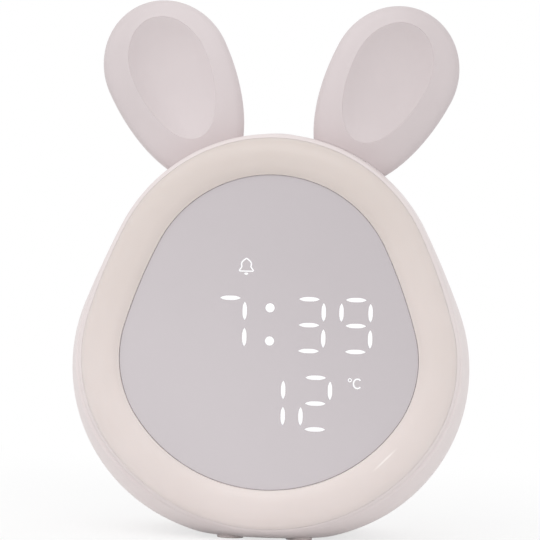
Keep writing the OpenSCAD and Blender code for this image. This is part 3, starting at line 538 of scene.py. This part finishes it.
def loft_mesh(name, loops, hoop=False):
    bm = bmesh.new()
    ring = bmesh.ops.create_circle(bm, segments=len(loops[0]))["verts"]
    first_ring = ring
    for vert, point in zip(ring, loops[0]):
        vert.co = point
    for points in loops[1:] + loops[:1] * hoop:
        edges = [bm.edges.get((ring[i - 1], vert)) for i, vert in enumerate(ring)]
        fresh = set(bmesh.ops.extrude_edge_only(bm, edges=edges)["geom"])
        ring = [next(e.other_vert(v) for e in v.link_edges if e.other_vert(v) in fresh)
                for v in ring]
        for vert, point in zip(ring, points):
            vert.co = point
    if hoop:
        bmesh.ops.remove_doubles(bm, verts=first_ring + ring, dist=MERGE)
    else:
        for end in (first_ring, ring):
            bmesh.ops.contextual_create(bm, geom=end)
    bmesh.ops.recalc_face_normals(bm, faces=bm.faces[:])
    return finished_mesh(name, bm)


print("loft: ready")

# %% [markdown]
# ## From a mesh to a piece
# Moulded skin is shaded smooth, but a rim or a cut edge has to stay crisp. Splitting the mesh there
# would open it, so edges are marked as sharp by their angle. Then the piece gets its finish, is
# fixed to the body it moves with, and hides the imported solids that it stands for.

# %% Pieces and their finish
SHARP = math.radians(35)


def add_object(name, data):
    piece = bpy.data.objects.new(name, data)
    bpy.context.scene.collection.objects.link(piece)
    return piece


def plain_mesh(piece):
    """The piece as a plain mesh, with its curve or its modifiers worked out."""
    evaluated = piece.evaluated_get(bpy.context.evaluated_depsgraph_get())
    return bpy.data.meshes.new_from_object(evaluated)


def dress(piece, finish, body="clock", replaces=()):
    """Shades a finished piece, gives it its finish and fixes it to its body."""
    piece.data.shade_smooth()
    piece.data.set_sharp_from_angle(angle=SHARP)
    piece.data.materials.clear()
    piece.data.materials.append(finish)
    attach(piece, body)
    if replaces:
        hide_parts(*replaces)
    print(piece.name, "faces:", len(piece.data.polygons))
    return piece


print("edges sharper than", round(math.degrees(SHARP)), "degrees stay crisp")

# %% [markdown]
# ## Cutting openings
# Holes could be worked into a mesh's own quads, but in a curved wall that bends the quads round
# them. The Boolean modifier leaves the wall as it is and lays the cut edge exactly in it. A cutter
# is a short loft of one rounded shape. It flares just where it leaves the surface, so the cut edge
# gets the small chamfer that a mould gives it.

# %% Cutters
CHAMFER = 0.3
OVERSHOOT = 1


def full_turn(steps):
    return [2 * math.pi * i / steps for i in range(steps)]


def rounded_loop(x, z, w, h, corner, depth, grow=0.0, steps=32):
    """A rectangle with round corners at one depth; with w = h = 2 * corner it is a circle."""
    points = []
    for i in range(steps):
        u, v = (turn(2 * math.pi * (i + 0.5) / steps) for turn in (math.cos, math.sin))
        points.append(Vector((x + math.copysign(w / 2 - corner, u) + (corner + grow) * u,
                              FRONT_Y + depth,
                              z + math.copysign(h / 2 - corner, v) + (corner + grow) * v)) * MM)
    return points


def back_cutter(x, z, w, h, corner, bottom, steps=32):
    """Cuts from the back's surface down to a depth, with a chamfer at the surface."""
    stops = ((bottom, 0), (BACK_DEPTH - CHAMFER, 0), (BACK_DEPTH, CHAMFER),
             (BACK_DEPTH + OVERSHOOT, CHAMFER + OVERSHOOT))
    return loft_mesh("cutter", [
        rounded_loop(x, z, w, h, corner, depth, grow, steps) for depth, grow in stops])


def plain_cutter(x, z, w, h, corner, bottom, top):
    return loft_mesh("cutter", [
        rounded_loop(x, z, w, h, corner, depth, 0, 48) for depth in (bottom, top)])


def round_cutter(x, z, radius, bottom, top):
    return plain_cutter(x, z, 2 * radius, 2 * radius, radius, bottom, top)


print("cutters: ready")

# %% Joining and combining
def joined(name, meshes):
    bm = bmesh.new()
    for mesh in meshes:
        bm.from_mesh(mesh)
        bpy.data.meshes.remove(mesh)
    return finished_mesh(name, bm)


def combine(piece, other_mesh, operation):
    """Cuts other_mesh out of the piece or adds it, and keeps the result as a plain mesh."""
    other = add_object("other", other_mesh)
    modifier = piece.modifiers.new("cut", "BOOLEAN")
    modifier.operation = operation
    modifier.solver = "EXACT"
    modifier.object = other
    result = plain_mesh(piece)
    piece.modifiers.clear()
    piece.data = result
    bpy.data.objects.remove(other)


print("combining: ready")

# %% [markdown]
# ## Front shell
# The front shell is the short front half. Its lip is under a millimetre thick and carries on the
# slope of the ring, so that both look like one soft edge: it is a short arc that starts along the
# body's side and ends at the ring. Inside it a ledge carries the frame. A skin made thick with
# Solidify would have neither lip nor ledge, so the shell is one hoop of sections: forward along
# the outside, round the lip, down its inner wall, over the ledge and back inside to the meeting
# plane. The edge there is eased, so the seam between the shells shows as a fine line.

# %% Front shell
SEAM_EASE = 0.2
LEDGE_GROW = 9.9
LEDGE_DEPTH = 11.0
LEDGE_END = 12.8
LIP_EASE = 0.05
LIP_TURN = math.radians(54)
LIP_STEPS = 6
SIDE_STEPS = 16
INSIDE_DEPTHS = (LEDGE_END + 0.2, 16, 19, PART_DEPTH)
lip_r = (RIM_GROW - LIP_GROW - LIP_EASE) / (1 - math.cos(LIP_TURN))
lip_start = LIP_DEPTH + lip_r * math.sin(LIP_TURN)

loops = [body_loop(PART_DEPTH, edge=SEAM_EASE), body_loop(PART_DEPTH - SEAM_EASE)]
loops += [body_loop(PART_DEPTH - (PART_DEPTH - lip_start) * (i / SIDE_STEPS))
          for i in range(1, SIDE_STEPS + 1)]
for i in range(1, LIP_STEPS + 1):
    turn = LIP_TURN * i / LIP_STEPS
    loops.append(face_loop(RIM_GROW - lip_r * (1 - math.cos(turn)),
                           lip_start - lip_r * math.sin(turn)))
loops += [face_loop(LIP_GROW, LIP_DEPTH + LIP_EASE), face_loop(LIP_GROW, LEDGE_DEPTH),
          face_loop(LEDGE_GROW, LEDGE_DEPTH), face_loop(LEDGE_GROW, LEDGE_END)]
loops += [body_loop(depth, WALL) for depth in INSIDE_DEPTHS]
front_shell = add_object("front_casing", loft_mesh("front_casing", loops, hoop=True))
print("lip radius:", round(lip_r, 2), "mm")

# %% Seats of the feet
FOOT_R = 4.1
FOOT_TOP = 1.4
FOOT_X = 10.5
FOOT_DEPTHS = (16.0, 48.0)
FOOT_STEPS = 40
feet = [(side * FOOT_X, depth) for side in (-1, 1) for depth in FOOT_DEPTHS]


def foot_cutter(x, depth):
    circle = [Vector((x + FOOT_R * math.cos(a), FRONT_Y + depth + FOOT_R * math.sin(a), 0)) * MM
              for a in full_turn(FOOT_STEPS)]
    return loft_mesh("cutter", [
        [p + Vector((0, 0, z * MM)) for p in circle] for z in (-OVERSHOOT, FOOT_TOP)])


front_seats = [foot_cutter(*foot) for foot in feet if foot[1] < PART_DEPTH]
combine(front_shell, joined("cuts", front_seats), "DIFFERENCE")
dress(front_shell, shell_finish, replaces=["front_shell"])

# %% [markdown]
# ## Rear shell
# The rear shell is the deep back half. It could be the outer skin with a thickness, but the inner
# skin turns into the back by a curve of its own, so the shell is lofted as a closed cup: inside
# wall, meeting edge, outside wall and two flat backs. Loops lie closer together where it turns.

# %% The cup
BACK_STEPS = 22
inside_back = BACK_DEPTH - WALL


def to_the_back(end, skin=0.0):
    """Loops from just behind the meeting plane to the depth end."""
    return [body_loop(PART_DEPTH + (end - PART_DEPTH) * math.sin(math.pi / 2 * i / BACK_STEPS),
                      skin) for i in range(1, BACK_STEPS + 1)]


loops = to_the_back(inside_back, WALL)[::-1]
loops += [body_loop(PART_DEPTH, WALL), body_loop(PART_DEPTH, edge=SEAM_EASE),
          body_loop(PART_DEPTH + SEAM_EASE)]
loops += to_the_back(BACK_DEPTH)
rear_shell = add_object("rear_casing", loft_mesh("rear_casing", loops))
print("rear shell loops:", len(loops))

# %% [markdown]
# ## What is added to the rear shell
# Four tubes lead to the sunk case screws, and a moulded cup stands round the charging socket, so
# that nobody sees past the socket to the board. They could stay separate pieces, but then their
# ends would show as seams, so they are united with the wall before anything is cut.

# %% Tubes and the socket's cup
CASE_SCREWS = [(side * x, z) for x, z in ((26, 20), (12, 97)) for side in (-1, 1)]
WELL_R = 3.1
WELL_DEPTH = 33.0
WELL_WALL = 1.4
WELL_FLOOR = 3
INTO_WALL = 0.5
PORT_W = 13.0
PORT_H = 7.4
CUP_WALL = 1.0
CUP_STEP = 0.3


def node_middle(node):
    low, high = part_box(node)
    return (low.x + high.x) / 2 / MM, (low.z + high.z) / 2 / MM


port_x, port_z = node_middle("usb_socket")
cup_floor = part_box("usb_socket")[1].y / MM - FRONT_Y - CUP_STEP
added = [round_cutter(x, z, WELL_R + WELL_WALL, WELL_DEPTH - WELL_FLOOR, inside_back + INTO_WALL)
         for x, z in CASE_SCREWS]
added.append(plain_cutter(port_x, port_z, PORT_W + 2 * CUP_WALL, PORT_H + 2 * CUP_WALL,
                          PORT_H / 2 + CUP_WALL, cup_floor - CUP_WALL, inside_back + INTO_WALL))
combine(rear_shell, joined("tubes", added), "UNION")
print("socket's cup:", round(BACK_DEPTH - cup_floor, 1), "mm deep")

# %% [markdown]
# ## Openings in the back
# The back has a drilled grille for the speaker, four button holes, the socket's recess, the
# slider's slot and four screw wells. Their places could be typed in, but most are read from the
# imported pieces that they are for, so that no hole misses its piece.

# %% Openings in the back
KEY_NODES = ["set_button", "down_button", "up_button", "alarm_button"]
KEY_R = 4.1
GRILLE_R = 1.0
GRILLE_PITCH = 4.0
RUNNING_GAP = 0.25
SLIDER_X = 9.0
SLIDER_W = 7.1
SLIDER_H = 3.9
SLIDER_CORNER = 0.4
MOUTH_W = 9.3
MOUTH_H = 3.6
through = inside_back - OVERSHOOT


def round_hole(x, z, radius, steps):
    return back_cutter(x, z, 2 * radius, 2 * radius, radius, through, steps)


speaker_x, speaker_z = node_middle("speaker_basket")
grille = [(0, 0)] + [(k * GRILLE_PITCH * math.sin(a), k * GRILLE_PITCH * math.cos(a))
                     for k in (1, 2) for a in [math.pi * i / (3 * k) for i in range(6 * k)]]
cuts = [round_hole(speaker_x + x, speaker_z + z, GRILLE_R, 20) for x, z in grille]
cuts += [round_hole(*node_middle(key), KEY_R + RUNNING_GAP, 48) for key in KEY_NODES]
cuts.append(back_cutter(port_x, port_z, PORT_W, PORT_H, PORT_H / 2, cup_floor, 48))
cuts.append(back_cutter(SLIDER_X, port_z, SLIDER_W, SLIDER_H, SLIDER_CORNER, through))
cuts += [round_cutter(x, z, WELL_R, WELL_DEPTH, BACK_DEPTH + 2 * OVERSHOOT) for x, z in CASE_SCREWS]
cuts += [foot_cutter(*foot) for foot in feet if foot[1] > PART_DEPTH]
mouth = plain_cutter(port_x, port_z, MOUTH_W, MOUTH_H, MOUTH_H / 2,
                     cup_floor - 2 * CUP_WALL, cup_floor + CUP_WALL)
combine(rear_shell, joined("cuts", cuts), "DIFFERENCE")
combine(rear_shell, mouth, "DIFFERENCE")
print("openings:", len(cuts))

# %% [markdown]
# ## The snooze button's hole
# The snooze button sits on top between the ears, where the skin slopes to the back, so its hole
# leans by the same slope. A hole cut straight down would be an oval with a lip at one side.

# %% Snooze hole
SNOOZE_R = 7.2
SNOOZE_TILT = math.radians(8)
BEHIND_SEAM = 2
SNOOZE_DEPTH = PART_DEPTH + SNOOZE_R + RUNNING_GAP + BEHIND_SEAM
SNOOZE_STEPS = 64
HOLE_BELOW, HOLE_ABOVE = 8, 4
snooze_top = sum(max(p.z for p in body_loop(SNOOZE_DEPTH + end * SNOOZE_R)) for end in (-1, 1)) / 2
in_snooze_frame = Matrix.Translation((0, (FRONT_Y + SNOOZE_DEPTH) * MM, snooze_top))
in_snooze_frame @= Matrix.Rotation(-SNOOZE_TILT, 4, "X")
stops = ((-HOLE_BELOW, 0), (-CHAMFER, 0), (0, CHAMFER), (HOLE_ABOVE, CHAMFER + HOLE_ABOVE))
hole = []
for z, grow in stops:
    radius = SNOOZE_R + RUNNING_GAP + grow
    hole.append([in_snooze_frame @ (Vector((radius * math.cos(a), radius * math.sin(a), z)) * MM)
                 for a in full_turn(SNOOZE_STEPS)])
combine(rear_shell, loft_mesh("cutter", hole), "DIFFERENCE")
dress(rear_shell, shell_finish, replaces=["rear_shell"])

# %% [markdown]
# ## Light ring
# The ring is a low milky bead. It has a narrow flat land beside the window, rises to its crest,
# falls slowly on its outer side and turns down quickly just before the lip, which it meets almost
# flush. A torus pressed flat would have the same fall on both sides, so a formula gives the fall
# at each width. The section is walked once round and lofted as a hoop.

# %% Section of the ring
RING_CREST = 4.8
CREST_DEPTH = 0.7
OUTER_FALL = 2.42
INNER_FALL = 1.5
ROUNDNESS = 2.4
EDGE_ROUNDNESS = 8.0
EDGE_SHARE = 0.2
INNER_LAND = 0.4


def ring_fall(grow):
    """How deep the ring's face lies: a slow fall to both sides, and a quick one at the edge."""
    if grow > RING_CREST:
        share = (grow - RING_CREST) / (RING_W - RING_CREST)
        return CREST_DEPTH + OUTER_FALL * (
            (1 - EDGE_SHARE) * share ** ROUNDNESS + EDGE_SHARE * share ** EDGE_ROUNDNESS)
    share = (RING_CREST - max(grow, INNER_LAND)) / RING_CREST
    return CREST_DEPTH + INNER_FALL * share ** ROUNDNESS


print("ring falls:", round(ring_fall(0), 2), "inside,", round(ring_fall(RING_W), 2), "outside")

# %% Light ring
RING_T = 1.8
RING_SKIRT = 1.2
RING_EDGE = 11.68
WINDOW_GAP = 0.075
FRAME_DEPTH = 9.0
SEAT_DEPTH = 5.0
FACE_STEPS = 28
UNDER_STEPS = 10
SKIRT_GROW = RING_W - RING_SKIRT

loops = []
for i in range(FACE_STEPS + 1):
    grow = WINDOW_GAP + (RING_EDGE - WINDOW_GAP) * (1 - math.cos(math.pi * i / FACE_STEPS)) / 2
    loops.append(face_loop(grow, ring_fall(grow)))
loops += [face_loop(RING_EDGE, FRAME_DEPTH), face_loop(SKIRT_GROW, FRAME_DEPTH)]
under = [SKIRT_GROW - (RING_W - 2 * RING_SKIRT - WINDOW_GAP) * i / UNDER_STEPS
         for i in range(UNDER_STEPS + 1)]
loops += [face_loop(grow, ring_fall(grow) + RING_T) for grow in under]
loops += [face_loop(under[-1], SEAT_DEPTH), face_loop(WINDOW_GAP, SEAT_DEPTH)]
light_ring = add_object("glow_ring", loft_mesh("glow_ring", loops, hoop=True))
dress(light_ring, ring_finish, replaces=["light_ring"])

# %% [markdown]
# ## Window
# The window is a flat sheet whose sharp front edge is eased. A bevel on a filled outline would do,
# but the loft is already there: three loops, of which the first is set in by the ease.

# %% Window
WINDOW_DEPTH = 2.6
WINDOW_T = 2.0
EDGE_EASE = 0.08
loops = [face_loop(-EDGE_EASE, WINDOW_DEPTH), face_loop(0, WINDOW_DEPTH + EDGE_EASE),
         face_loop(0, WINDOW_DEPTH + WINDOW_T)]
window = add_object("mirror_pane", loft_mesh("mirror_pane", loops))
dress(window, mirror_finish, replaces=["display_window"])

# %% [markdown]
# ## Shapes of light
# The window hides the bars behind it until they light, and then each shows as a soft white shape.
# Making the window clear in those places would need a mask as fine as the shapes, so the lit ones
# lie on the window's face as very thin lenses: a fan of four rings that thins out to the rim. A
# bar's sides bulge a little and meet in soft points.

# %% Lenses
BAR_L = 6.2
BAR_W = 1.3
BAR_H = 5.55
BAR_POINT = 3.2
BAR_STEPS = 12
DOT_STEPS = 40
LENS_T = 0.05
LENS_RINGS = ((0.3, 1.0), (0.8, 0.9), (0.96, 0.5), (1.0, 0.0))
face_y = FRONT_Y + WINDOW_DEPTH


def lens(x, z, rim):
    """A thin lens on the window's face, from its outline's points (u, v) round its middle."""
    loops = [[Vector((x + share * u, face_y - rise * LENS_T, z + share * v)) * MM for u, v in rim]
             for share, rise in LENS_RINGS]
    return loft_mesh("lens", loops)


def dot(x, z, half_w, half_h):
    return lens(x, z, [(half_w * math.cos(a), half_h * math.sin(a)) for a in full_turn(DOT_STEPS)])


def bar(x, z, upright):
    length, width = (BAR_H, BAR_W) if upright else (BAR_L, BAR_W)
    rim = []
    for i in range(2 * BAR_STEPS):
        along = math.cos(math.pi * (i + 0.5) / BAR_STEPS)
        bulge = (1 - abs(along) ** BAR_POINT) * (1 if i < BAR_STEPS else -1)
        rim.append((along * length / 2, bulge * width / 2))
    return lens(x, z, [(v, u) for u, v in rim] if upright else rim)


print("lenses:", LENS_T, "mm thick")

# %% [markdown]
# ## Lit digits
# A digit is up to seven bars, three lying and four standing. A font would be quicker, but its bars
# don't end in points, so a small table says which bars each figure lights. The 7, 3 and 9 and two
# dots tell the time, and 1 and 2 the temperature. The display sits turned by a degree.

# %% Lit digits
DOT_R = 1.36
DOT_RISE = 5
TIME_Z = 66.0
ROW_DROP = 23.6
DIGIT_PITCH = 14.1
COLON_GAP = 11.8
SEVEN_SHIFT = 0.2
SIDE_X = 4.375
SIDE_Z = 3.95
TOP_Z = 7.8
DISPLAY_TURN = math.radians(-0.9)
LYING = {"top": (0, TOP_Z), "middle": (0, 0), "bottom": (0, -TOP_Z)}
UPRIGHT = {"upper_left": (-SIDE_X, SIDE_Z), "upper_right": (SIDE_X, SIDE_Z),
           "lower_left": (-SIDE_X, -SIDE_Z), "lower_right": (SIDE_X, -SIDE_Z)}
LIT = {"1": "upper_right lower_right", "2": "top upper_right middle lower_left bottom",
       "3": "top upper_right middle lower_right bottom", "7": "top upper_right lower_right",
       "9": "top upper_left upper_right middle lower_right bottom"}


def digit(x, z, figure):
    return [bar(x + dx, z + dz, name in UPRIGHT)
            for name in LIT[figure].split() for dx, dz in [{**LYING, **UPRIGHT}[name]]]


to_middle = Matrix.Translation(Vector((0, 0, TIME_Z)) * MM)
display_turn = to_middle @ Matrix.Rotation(DISPLAY_TURN, 4, "Y") @ to_middle.inverted()
TEMPERATURE_Z = TIME_Z - ROW_DROP
meshes = digit(-COLON_GAP - SEVEN_SHIFT, TIME_Z, "7") + digit(COLON_GAP, TIME_Z, "3")
meshes += digit(COLON_GAP + DIGIT_PITCH, TIME_Z, "9")
meshes += digit(0, TEMPERATURE_Z, "1") + digit(DIGIT_PITCH, TEMPERATURE_Z, "2")
meshes += [dot(0, TIME_Z + side * DOT_RISE, DOT_R, DOT_R) for side in (-1, 1)]
digits = add_object("lit_digits", joined("lit_digits", meshes))
digits.data.transform(display_turn)
dress(digits, lit_finish)

# %% [markdown]
# ## The bell and the degree sign
# These are thin strokes of light. A flat strip of quads would need its corners worked out by hand,
# but a curve with a round section turns them by itself. It is drawn as points, turned into a mesh,
# and pressed flat on the window. The bell's one side is listed, and the other mirrors it.

# %% Strokes
def stroke(points, width, closed=False):
    """A flat line of light along points (x, z) on the window's face."""
    curve = bpy.data.curves.new("stroke", "CURVE")
    curve.dimensions = "3D"
    curve.bevel_depth = width / 2 * MM
    curve.bevel_resolution = 3
    curve.use_fill_caps = True
    spline = curve.splines.new("POLY")
    spline.points.add(len(points) - 1)
    spline.use_cyclic_u = closed
    for vert, (x, z) in zip(spline.points, points):
        vert.co = (x * MM, 0, z * MM, 1)
    holder = add_object("stroke", curve)
    mesh = plain_mesh(holder)
    bpy.data.objects.remove(holder)
    flatten = Matrix.Diagonal((1, 2 * LENS_T / width, 1, 1))
    mesh.transform(Matrix.Translation((0, face_y * MM, 0)) @ flatten)
    return mesh


def arc(x, z, half_w, half_h, start, end, steps=24):
    angles = [math.radians(start + (end - start) * i / steps) for i in range(steps + 1)]
    return [(x + half_w * math.cos(a), z + half_h * math.sin(a)) for a in angles]


print("strokes: ready")

# %% Icons
BELL_X, BELL_Z = -7.34, 81.87
BELL_LINE = 0.4
BELL_CROWN = 3.88
BELL_SIDE = [(1.95, 0.05), (2.12, 0.24), (1.98, 0.52), (1.7, 0.84), (1.38, 1.34), (1.42, 1.8),
             (1.5, 2.25), (1.36, 2.72), (1.1, 3.05), (0.66, 3.45), (0.2, 3.8)]
CLAPPER_DROP = 0.72
CLAPPER_HALF_W, CLAPPER_HALF_H = 0.62, 0.32
DEGREE_X, DEGREE_Z = 24.4, 49.65
DEGREE_R = 0.48
DEGREE_LINE = 0.28
LETTER_X, LETTER_Z = 26.7, 48.6
LETTER_HALF_W, LETTER_HALF_H = 1.2, 1.42
LETTER_LINE = 0.45
LETTER_MOUTH = 44
bell = BELL_SIDE + [(0, BELL_CROWN)] + [(-x, z) for x, z in reversed(BELL_SIDE)]
signs = [stroke([(BELL_X + x, BELL_Z + z) for x, z in bell], BELL_LINE, closed=True)]
signs.append(dot(BELL_X, BELL_Z - CLAPPER_DROP, CLAPPER_HALF_W, CLAPPER_HALF_H))
signs.append(stroke(arc(DEGREE_X, DEGREE_Z, DEGREE_R, DEGREE_R, 0, 345), DEGREE_LINE, closed=True))
letter = arc(LETTER_X, LETTER_Z, LETTER_HALF_W, LETTER_HALF_H, LETTER_MOUTH, 360 - LETTER_MOUTH)
signs.append(stroke(letter, LETTER_LINE))
icons = add_object("lit_icons", joined("lit_icons", signs))
icons.data.transform(display_turn)
dress(icons, lit_finish)

# %% [markdown]
# ## Ears
# An ear is an egg-shaped pad of soft silicone with a shallow dish in its front. It could be
# sculpted from a ball, but the dish's edge is crisp, so the ear is a loft of egg loops: from the
# middle of the dish out to its edge, over the border, which slopes back to the rim, round the rim
# and in again over the back. Soft ears never sit quite alike, so one stands a little lower and the
# other leans a little. The foot of each is cut with the body's own outline, let out by a hair.

# %% Sizes of the ears
EAR_TILT = math.radians(26)
EAR_REACH = 79.78
EAR_HALF_W = 19.4
EAR_TOP = 20.8
EAR_LOW = 38.0
EAR_T = 13.0
EAR_DEPTH = 22.0
EAR_STEPS = 96
EAR_BACK_INSET = 11.0
EAR_BACK_STEPS = 15
EAR_BACK_MIDDLE = (2, 2, 4)
EAR_SEAT_GAP = 0.03
DISH_HALF_W = 11.9
DISH_TOP = 15.4
DISH_LOW = 23.8
DISH_D = 4.2
DISH_ROUNDNESS = 2.6
DISH_SHARES = (0.04, 0.15, 0.3, 0.45, 0.6, 0.72, 0.82, 0.9, 0.96)
DISH_EASE = 0.25
DISH_SHIFT = 1.0
DISH_TURN = math.radians(1.5)
BORDER_FALL = 2.8
BORDER_STEPS = 24
EDGE_SQUARENESS = 9.0
print("ear height:", EAR_TOP + EAR_LOW, "mm before its foot is cut")

# %% Loops of an ear
def egg(width, top, low, y):
    """An egg round the ear's own centre, upright, with its pointed end down."""
    return [Vector((width * math.sin(a), y, (top if math.cos(a) > 0 else low) * math.cos(a)))
            for a in full_turn(EAR_STEPS)]


def inset_egg(inset, y):
    return egg(EAR_HALF_W - inset, EAR_TOP - inset, EAR_LOW - inset, y)


def ear_mesh(side, lean, short):
    half = EAR_T / 2
    edge = inset_egg(0, 0)
    upright = Matrix.Translation((-side * DISH_SHIFT, 0, 0))
    upright @= Matrix.Rotation(-side * DISH_TURN, 4, "Y")

    def dish_loop(share, y):
        return [upright @ p
                for p in egg(DISH_HALF_W * share, DISH_TOP * share, DISH_LOW * share, y)]

    rim = dish_loop(1, 0)
    loops = [dish_loop(m, -half + DISH_D * (1 - m ** DISH_ROUNDNESS)) for m in DISH_SHARES]
    loops.append(dish_loop(1 - DISH_EASE / DISH_HALF_W / 2, -half + DISH_EASE))
    for i in range(BORDER_STEPS + 1):
        reach = math.sin(math.pi / 2 * i / BORDER_STEPS)
        y = -(half - BORDER_FALL * reach) * (1 - reach ** EDGE_SQUARENESS) ** 0.5
        loops.append([
            inner.lerp(outer, reach) + Vector((0, y, 0)) for outer, inner in zip(edge, rim)])
    for i in range(1, EAR_BACK_STEPS):
        away = 1 - math.cos(math.pi / 2 * i / EAR_BACK_STEPS)
        loops.append(inset_egg(EAR_BACK_INSET * away, half * (1 - (1 - away) ** 2) ** 0.5))
    loops += [inset_egg(EAR_BACK_INSET, half), egg(*EAR_BACK_MIDDLE, half)]
    mesh = loft_mesh("ear", loops)
    place = Matrix.Translation(Vector((0, FRONT_Y + EAR_DEPTH, FACE_TOP_Z - BODY_DROP)) * MM)
    place = (place @ Matrix.Rotation(side * EAR_TILT, 4, "Y")
             @ Matrix.Translation((0, 0, (EAR_REACH - short) * MM)))
    mesh.transform(place @ Matrix.Rotation(side * lean, 4, "Y") @ Matrix.Scale(MM, 4))
    return mesh


print("ear loops: ready")

# %% Both ears
LEFT_SHORT = 0.5
RIGHT_LEAN = math.radians(0.7)
CUT_HALF_DEPTH = 40
seat = face_outline(RIM_GROW + SWELL + EAR_SEAT_GAP, 1, BODY_DROP)
for side, node, lean, short in ((-1, "left_ear", 0, LEFT_SHORT), (1, "right_ear", RIGHT_LEAN, 0)):
    ear = add_object(node + "_soft", ear_mesh(side, lean, short))
    cut = [[Vector((x, y, z)) * MM for x, z in seat] for y in (-CUT_HALF_DEPTH, CUT_HALF_DEPTH)]
    combine(ear, loft_mesh("cutter", cut), "DIFFERENCE")
    dress(ear, ear_finish, replaces=[node])

# %% [markdown]
# ## Dressing the rest
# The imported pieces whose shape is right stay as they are. Each takes the finish of its material
# slot. A finish could be given to each piece by name, but a table of slots also dresses a piece
# that is added later.

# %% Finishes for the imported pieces
finish_of_slot = {
    "shell": button_finish, "ear_silicone": ear_finish, "ring_milk": ring_finish,
    "half_mirror": mirror_finish, "inner_white": inner_finish, "light_guide": guide_finish,
    "led": led_finish, "circuit_board": board_finish, "black_plastic": black_finish,
    "ribbon": ribbon_finish, "speaker_paper": paper_finish, "battery_wrap": wrap_finish,
    "foam": foam_finish, "foot_rubber": foot_finish, "steel": steel_finish}
for part in frame["record"]["subparts"]:
    piece = frame["nodes"][part["node"]]
    piece.data.materials.clear()
    piece.data.materials.append(finish_of_slot[part["material_slot"]])

# %% [markdown]
# ## Room and table
# The clock stands on a plain pale table in a bright, even room. More light would make both white,
# but it would bleach the clock too. So each has two faces: the eye, a mirror or clear plastic sees
# plain white, and the light that reaches the clock is softer. The table takes the clock's shadow
# close to it and turns to plain white further away, so that no line shows where it ends.

# %% Room
AMBIENT = 0.84


def shown_white(tree):
    """1 where the eye, a mirror or clear plastic sees the surface, and 0 where light does."""
    path = tree.nodes.new("ShaderNodeLightPath")
    rays = [Wire(tree, path.outputs[name])
            for name in ("Is Camera Ray", "Is Glossy Ray", "Is Transmission Ray")]
    return rays[0].maths("MAXIMUM", rays[0], rays[0].maths("MAXIMUM", rays[1], rays[2]))


world = bpy.data.worlds.new("room")
bpy.context.scene.world = world
world.use_nodes = True
tree = world.node_tree
backdrop = shown_white(tree).blend((AMBIENT, AMBIENT, AMBIENT, 1), (1, 1, 1, 1))
tree.links.new(backdrop.socket, tree.nodes["Background"].inputs["Color"])
print("room light:", AMBIENT)

# %% Table
TABLE_HALF = 3
SHADOW_END, WHITE_FROM = 100 * MM, 300 * MM
SHADOW_SHARE = 0.3
floor_bm = bmesh.new()
bmesh.ops.create_grid(floor_bm, x_segments=1, y_segments=1, size=TABLE_HALF)
table = add_object("table", finished_mesh("table", floor_bm))

table_finish, shader, place = new_finish(
    "table_white", Roughness=0.8, Base_Color=screen(250, 250, 250))
tree = table_finish.node_tree
glow = tree.nodes.new("ShaderNodeEmission")
distance = place.node("ShaderNodeVectorMath", {"operation": "LENGTH"}, {0: place}, output=1)
away = distance.over(SHADOW_END, WHITE_FROM)
white = shown_white(tree) * (1 - SHADOW_SHARE + away * SHADOW_SHARE)
seen = white.node("ShaderNodeMixShader", inputs={
    "Fac": white, 1: Wire(tree, shader.outputs[0]), 2: Wire(tree, glow.outputs[0])})
tree.links.new(seen.socket, tree.nodes["Material Output"].inputs["Surface"])
table.data.materials.append(table_finish)
print("table:", 2 * TABLE_HALF, "m wide")

# %% [markdown]
# ## Lamps
# Two wide soft lamps give the bead and the ears their shading: one above the front, and a weaker
# one from the upper left. One lamp from straight ahead would be simpler, but it flattens every
# form. Both are weak, because the room already gives most of the light.

# %% Lamps
LAMP_SIZE = 0.6
MIDDLE = (0, 0, 0.08)


def lamp(name, place, watts):
    light = bpy.data.lights.new(name, "AREA")
    light.shape = "DISK"
    light.size = LAMP_SIZE
    light.energy = watts
    holder = bpy.data.objects.new(name, light)
    bpy.context.scene.collection.objects.link(holder)
    place = Vector(place)
    facing = (place - Vector(MIDDLE)).to_track_quat("Z", "Y").to_matrix().to_4x4()
    holder.matrix_world = Matrix.Translation(place) @ facing


lamp("key", (0.0, -0.8, 0.75), 1.6)
lamp("side", (-0.5, -0.4, 0.8), 0.9)
print("lamps: 2")
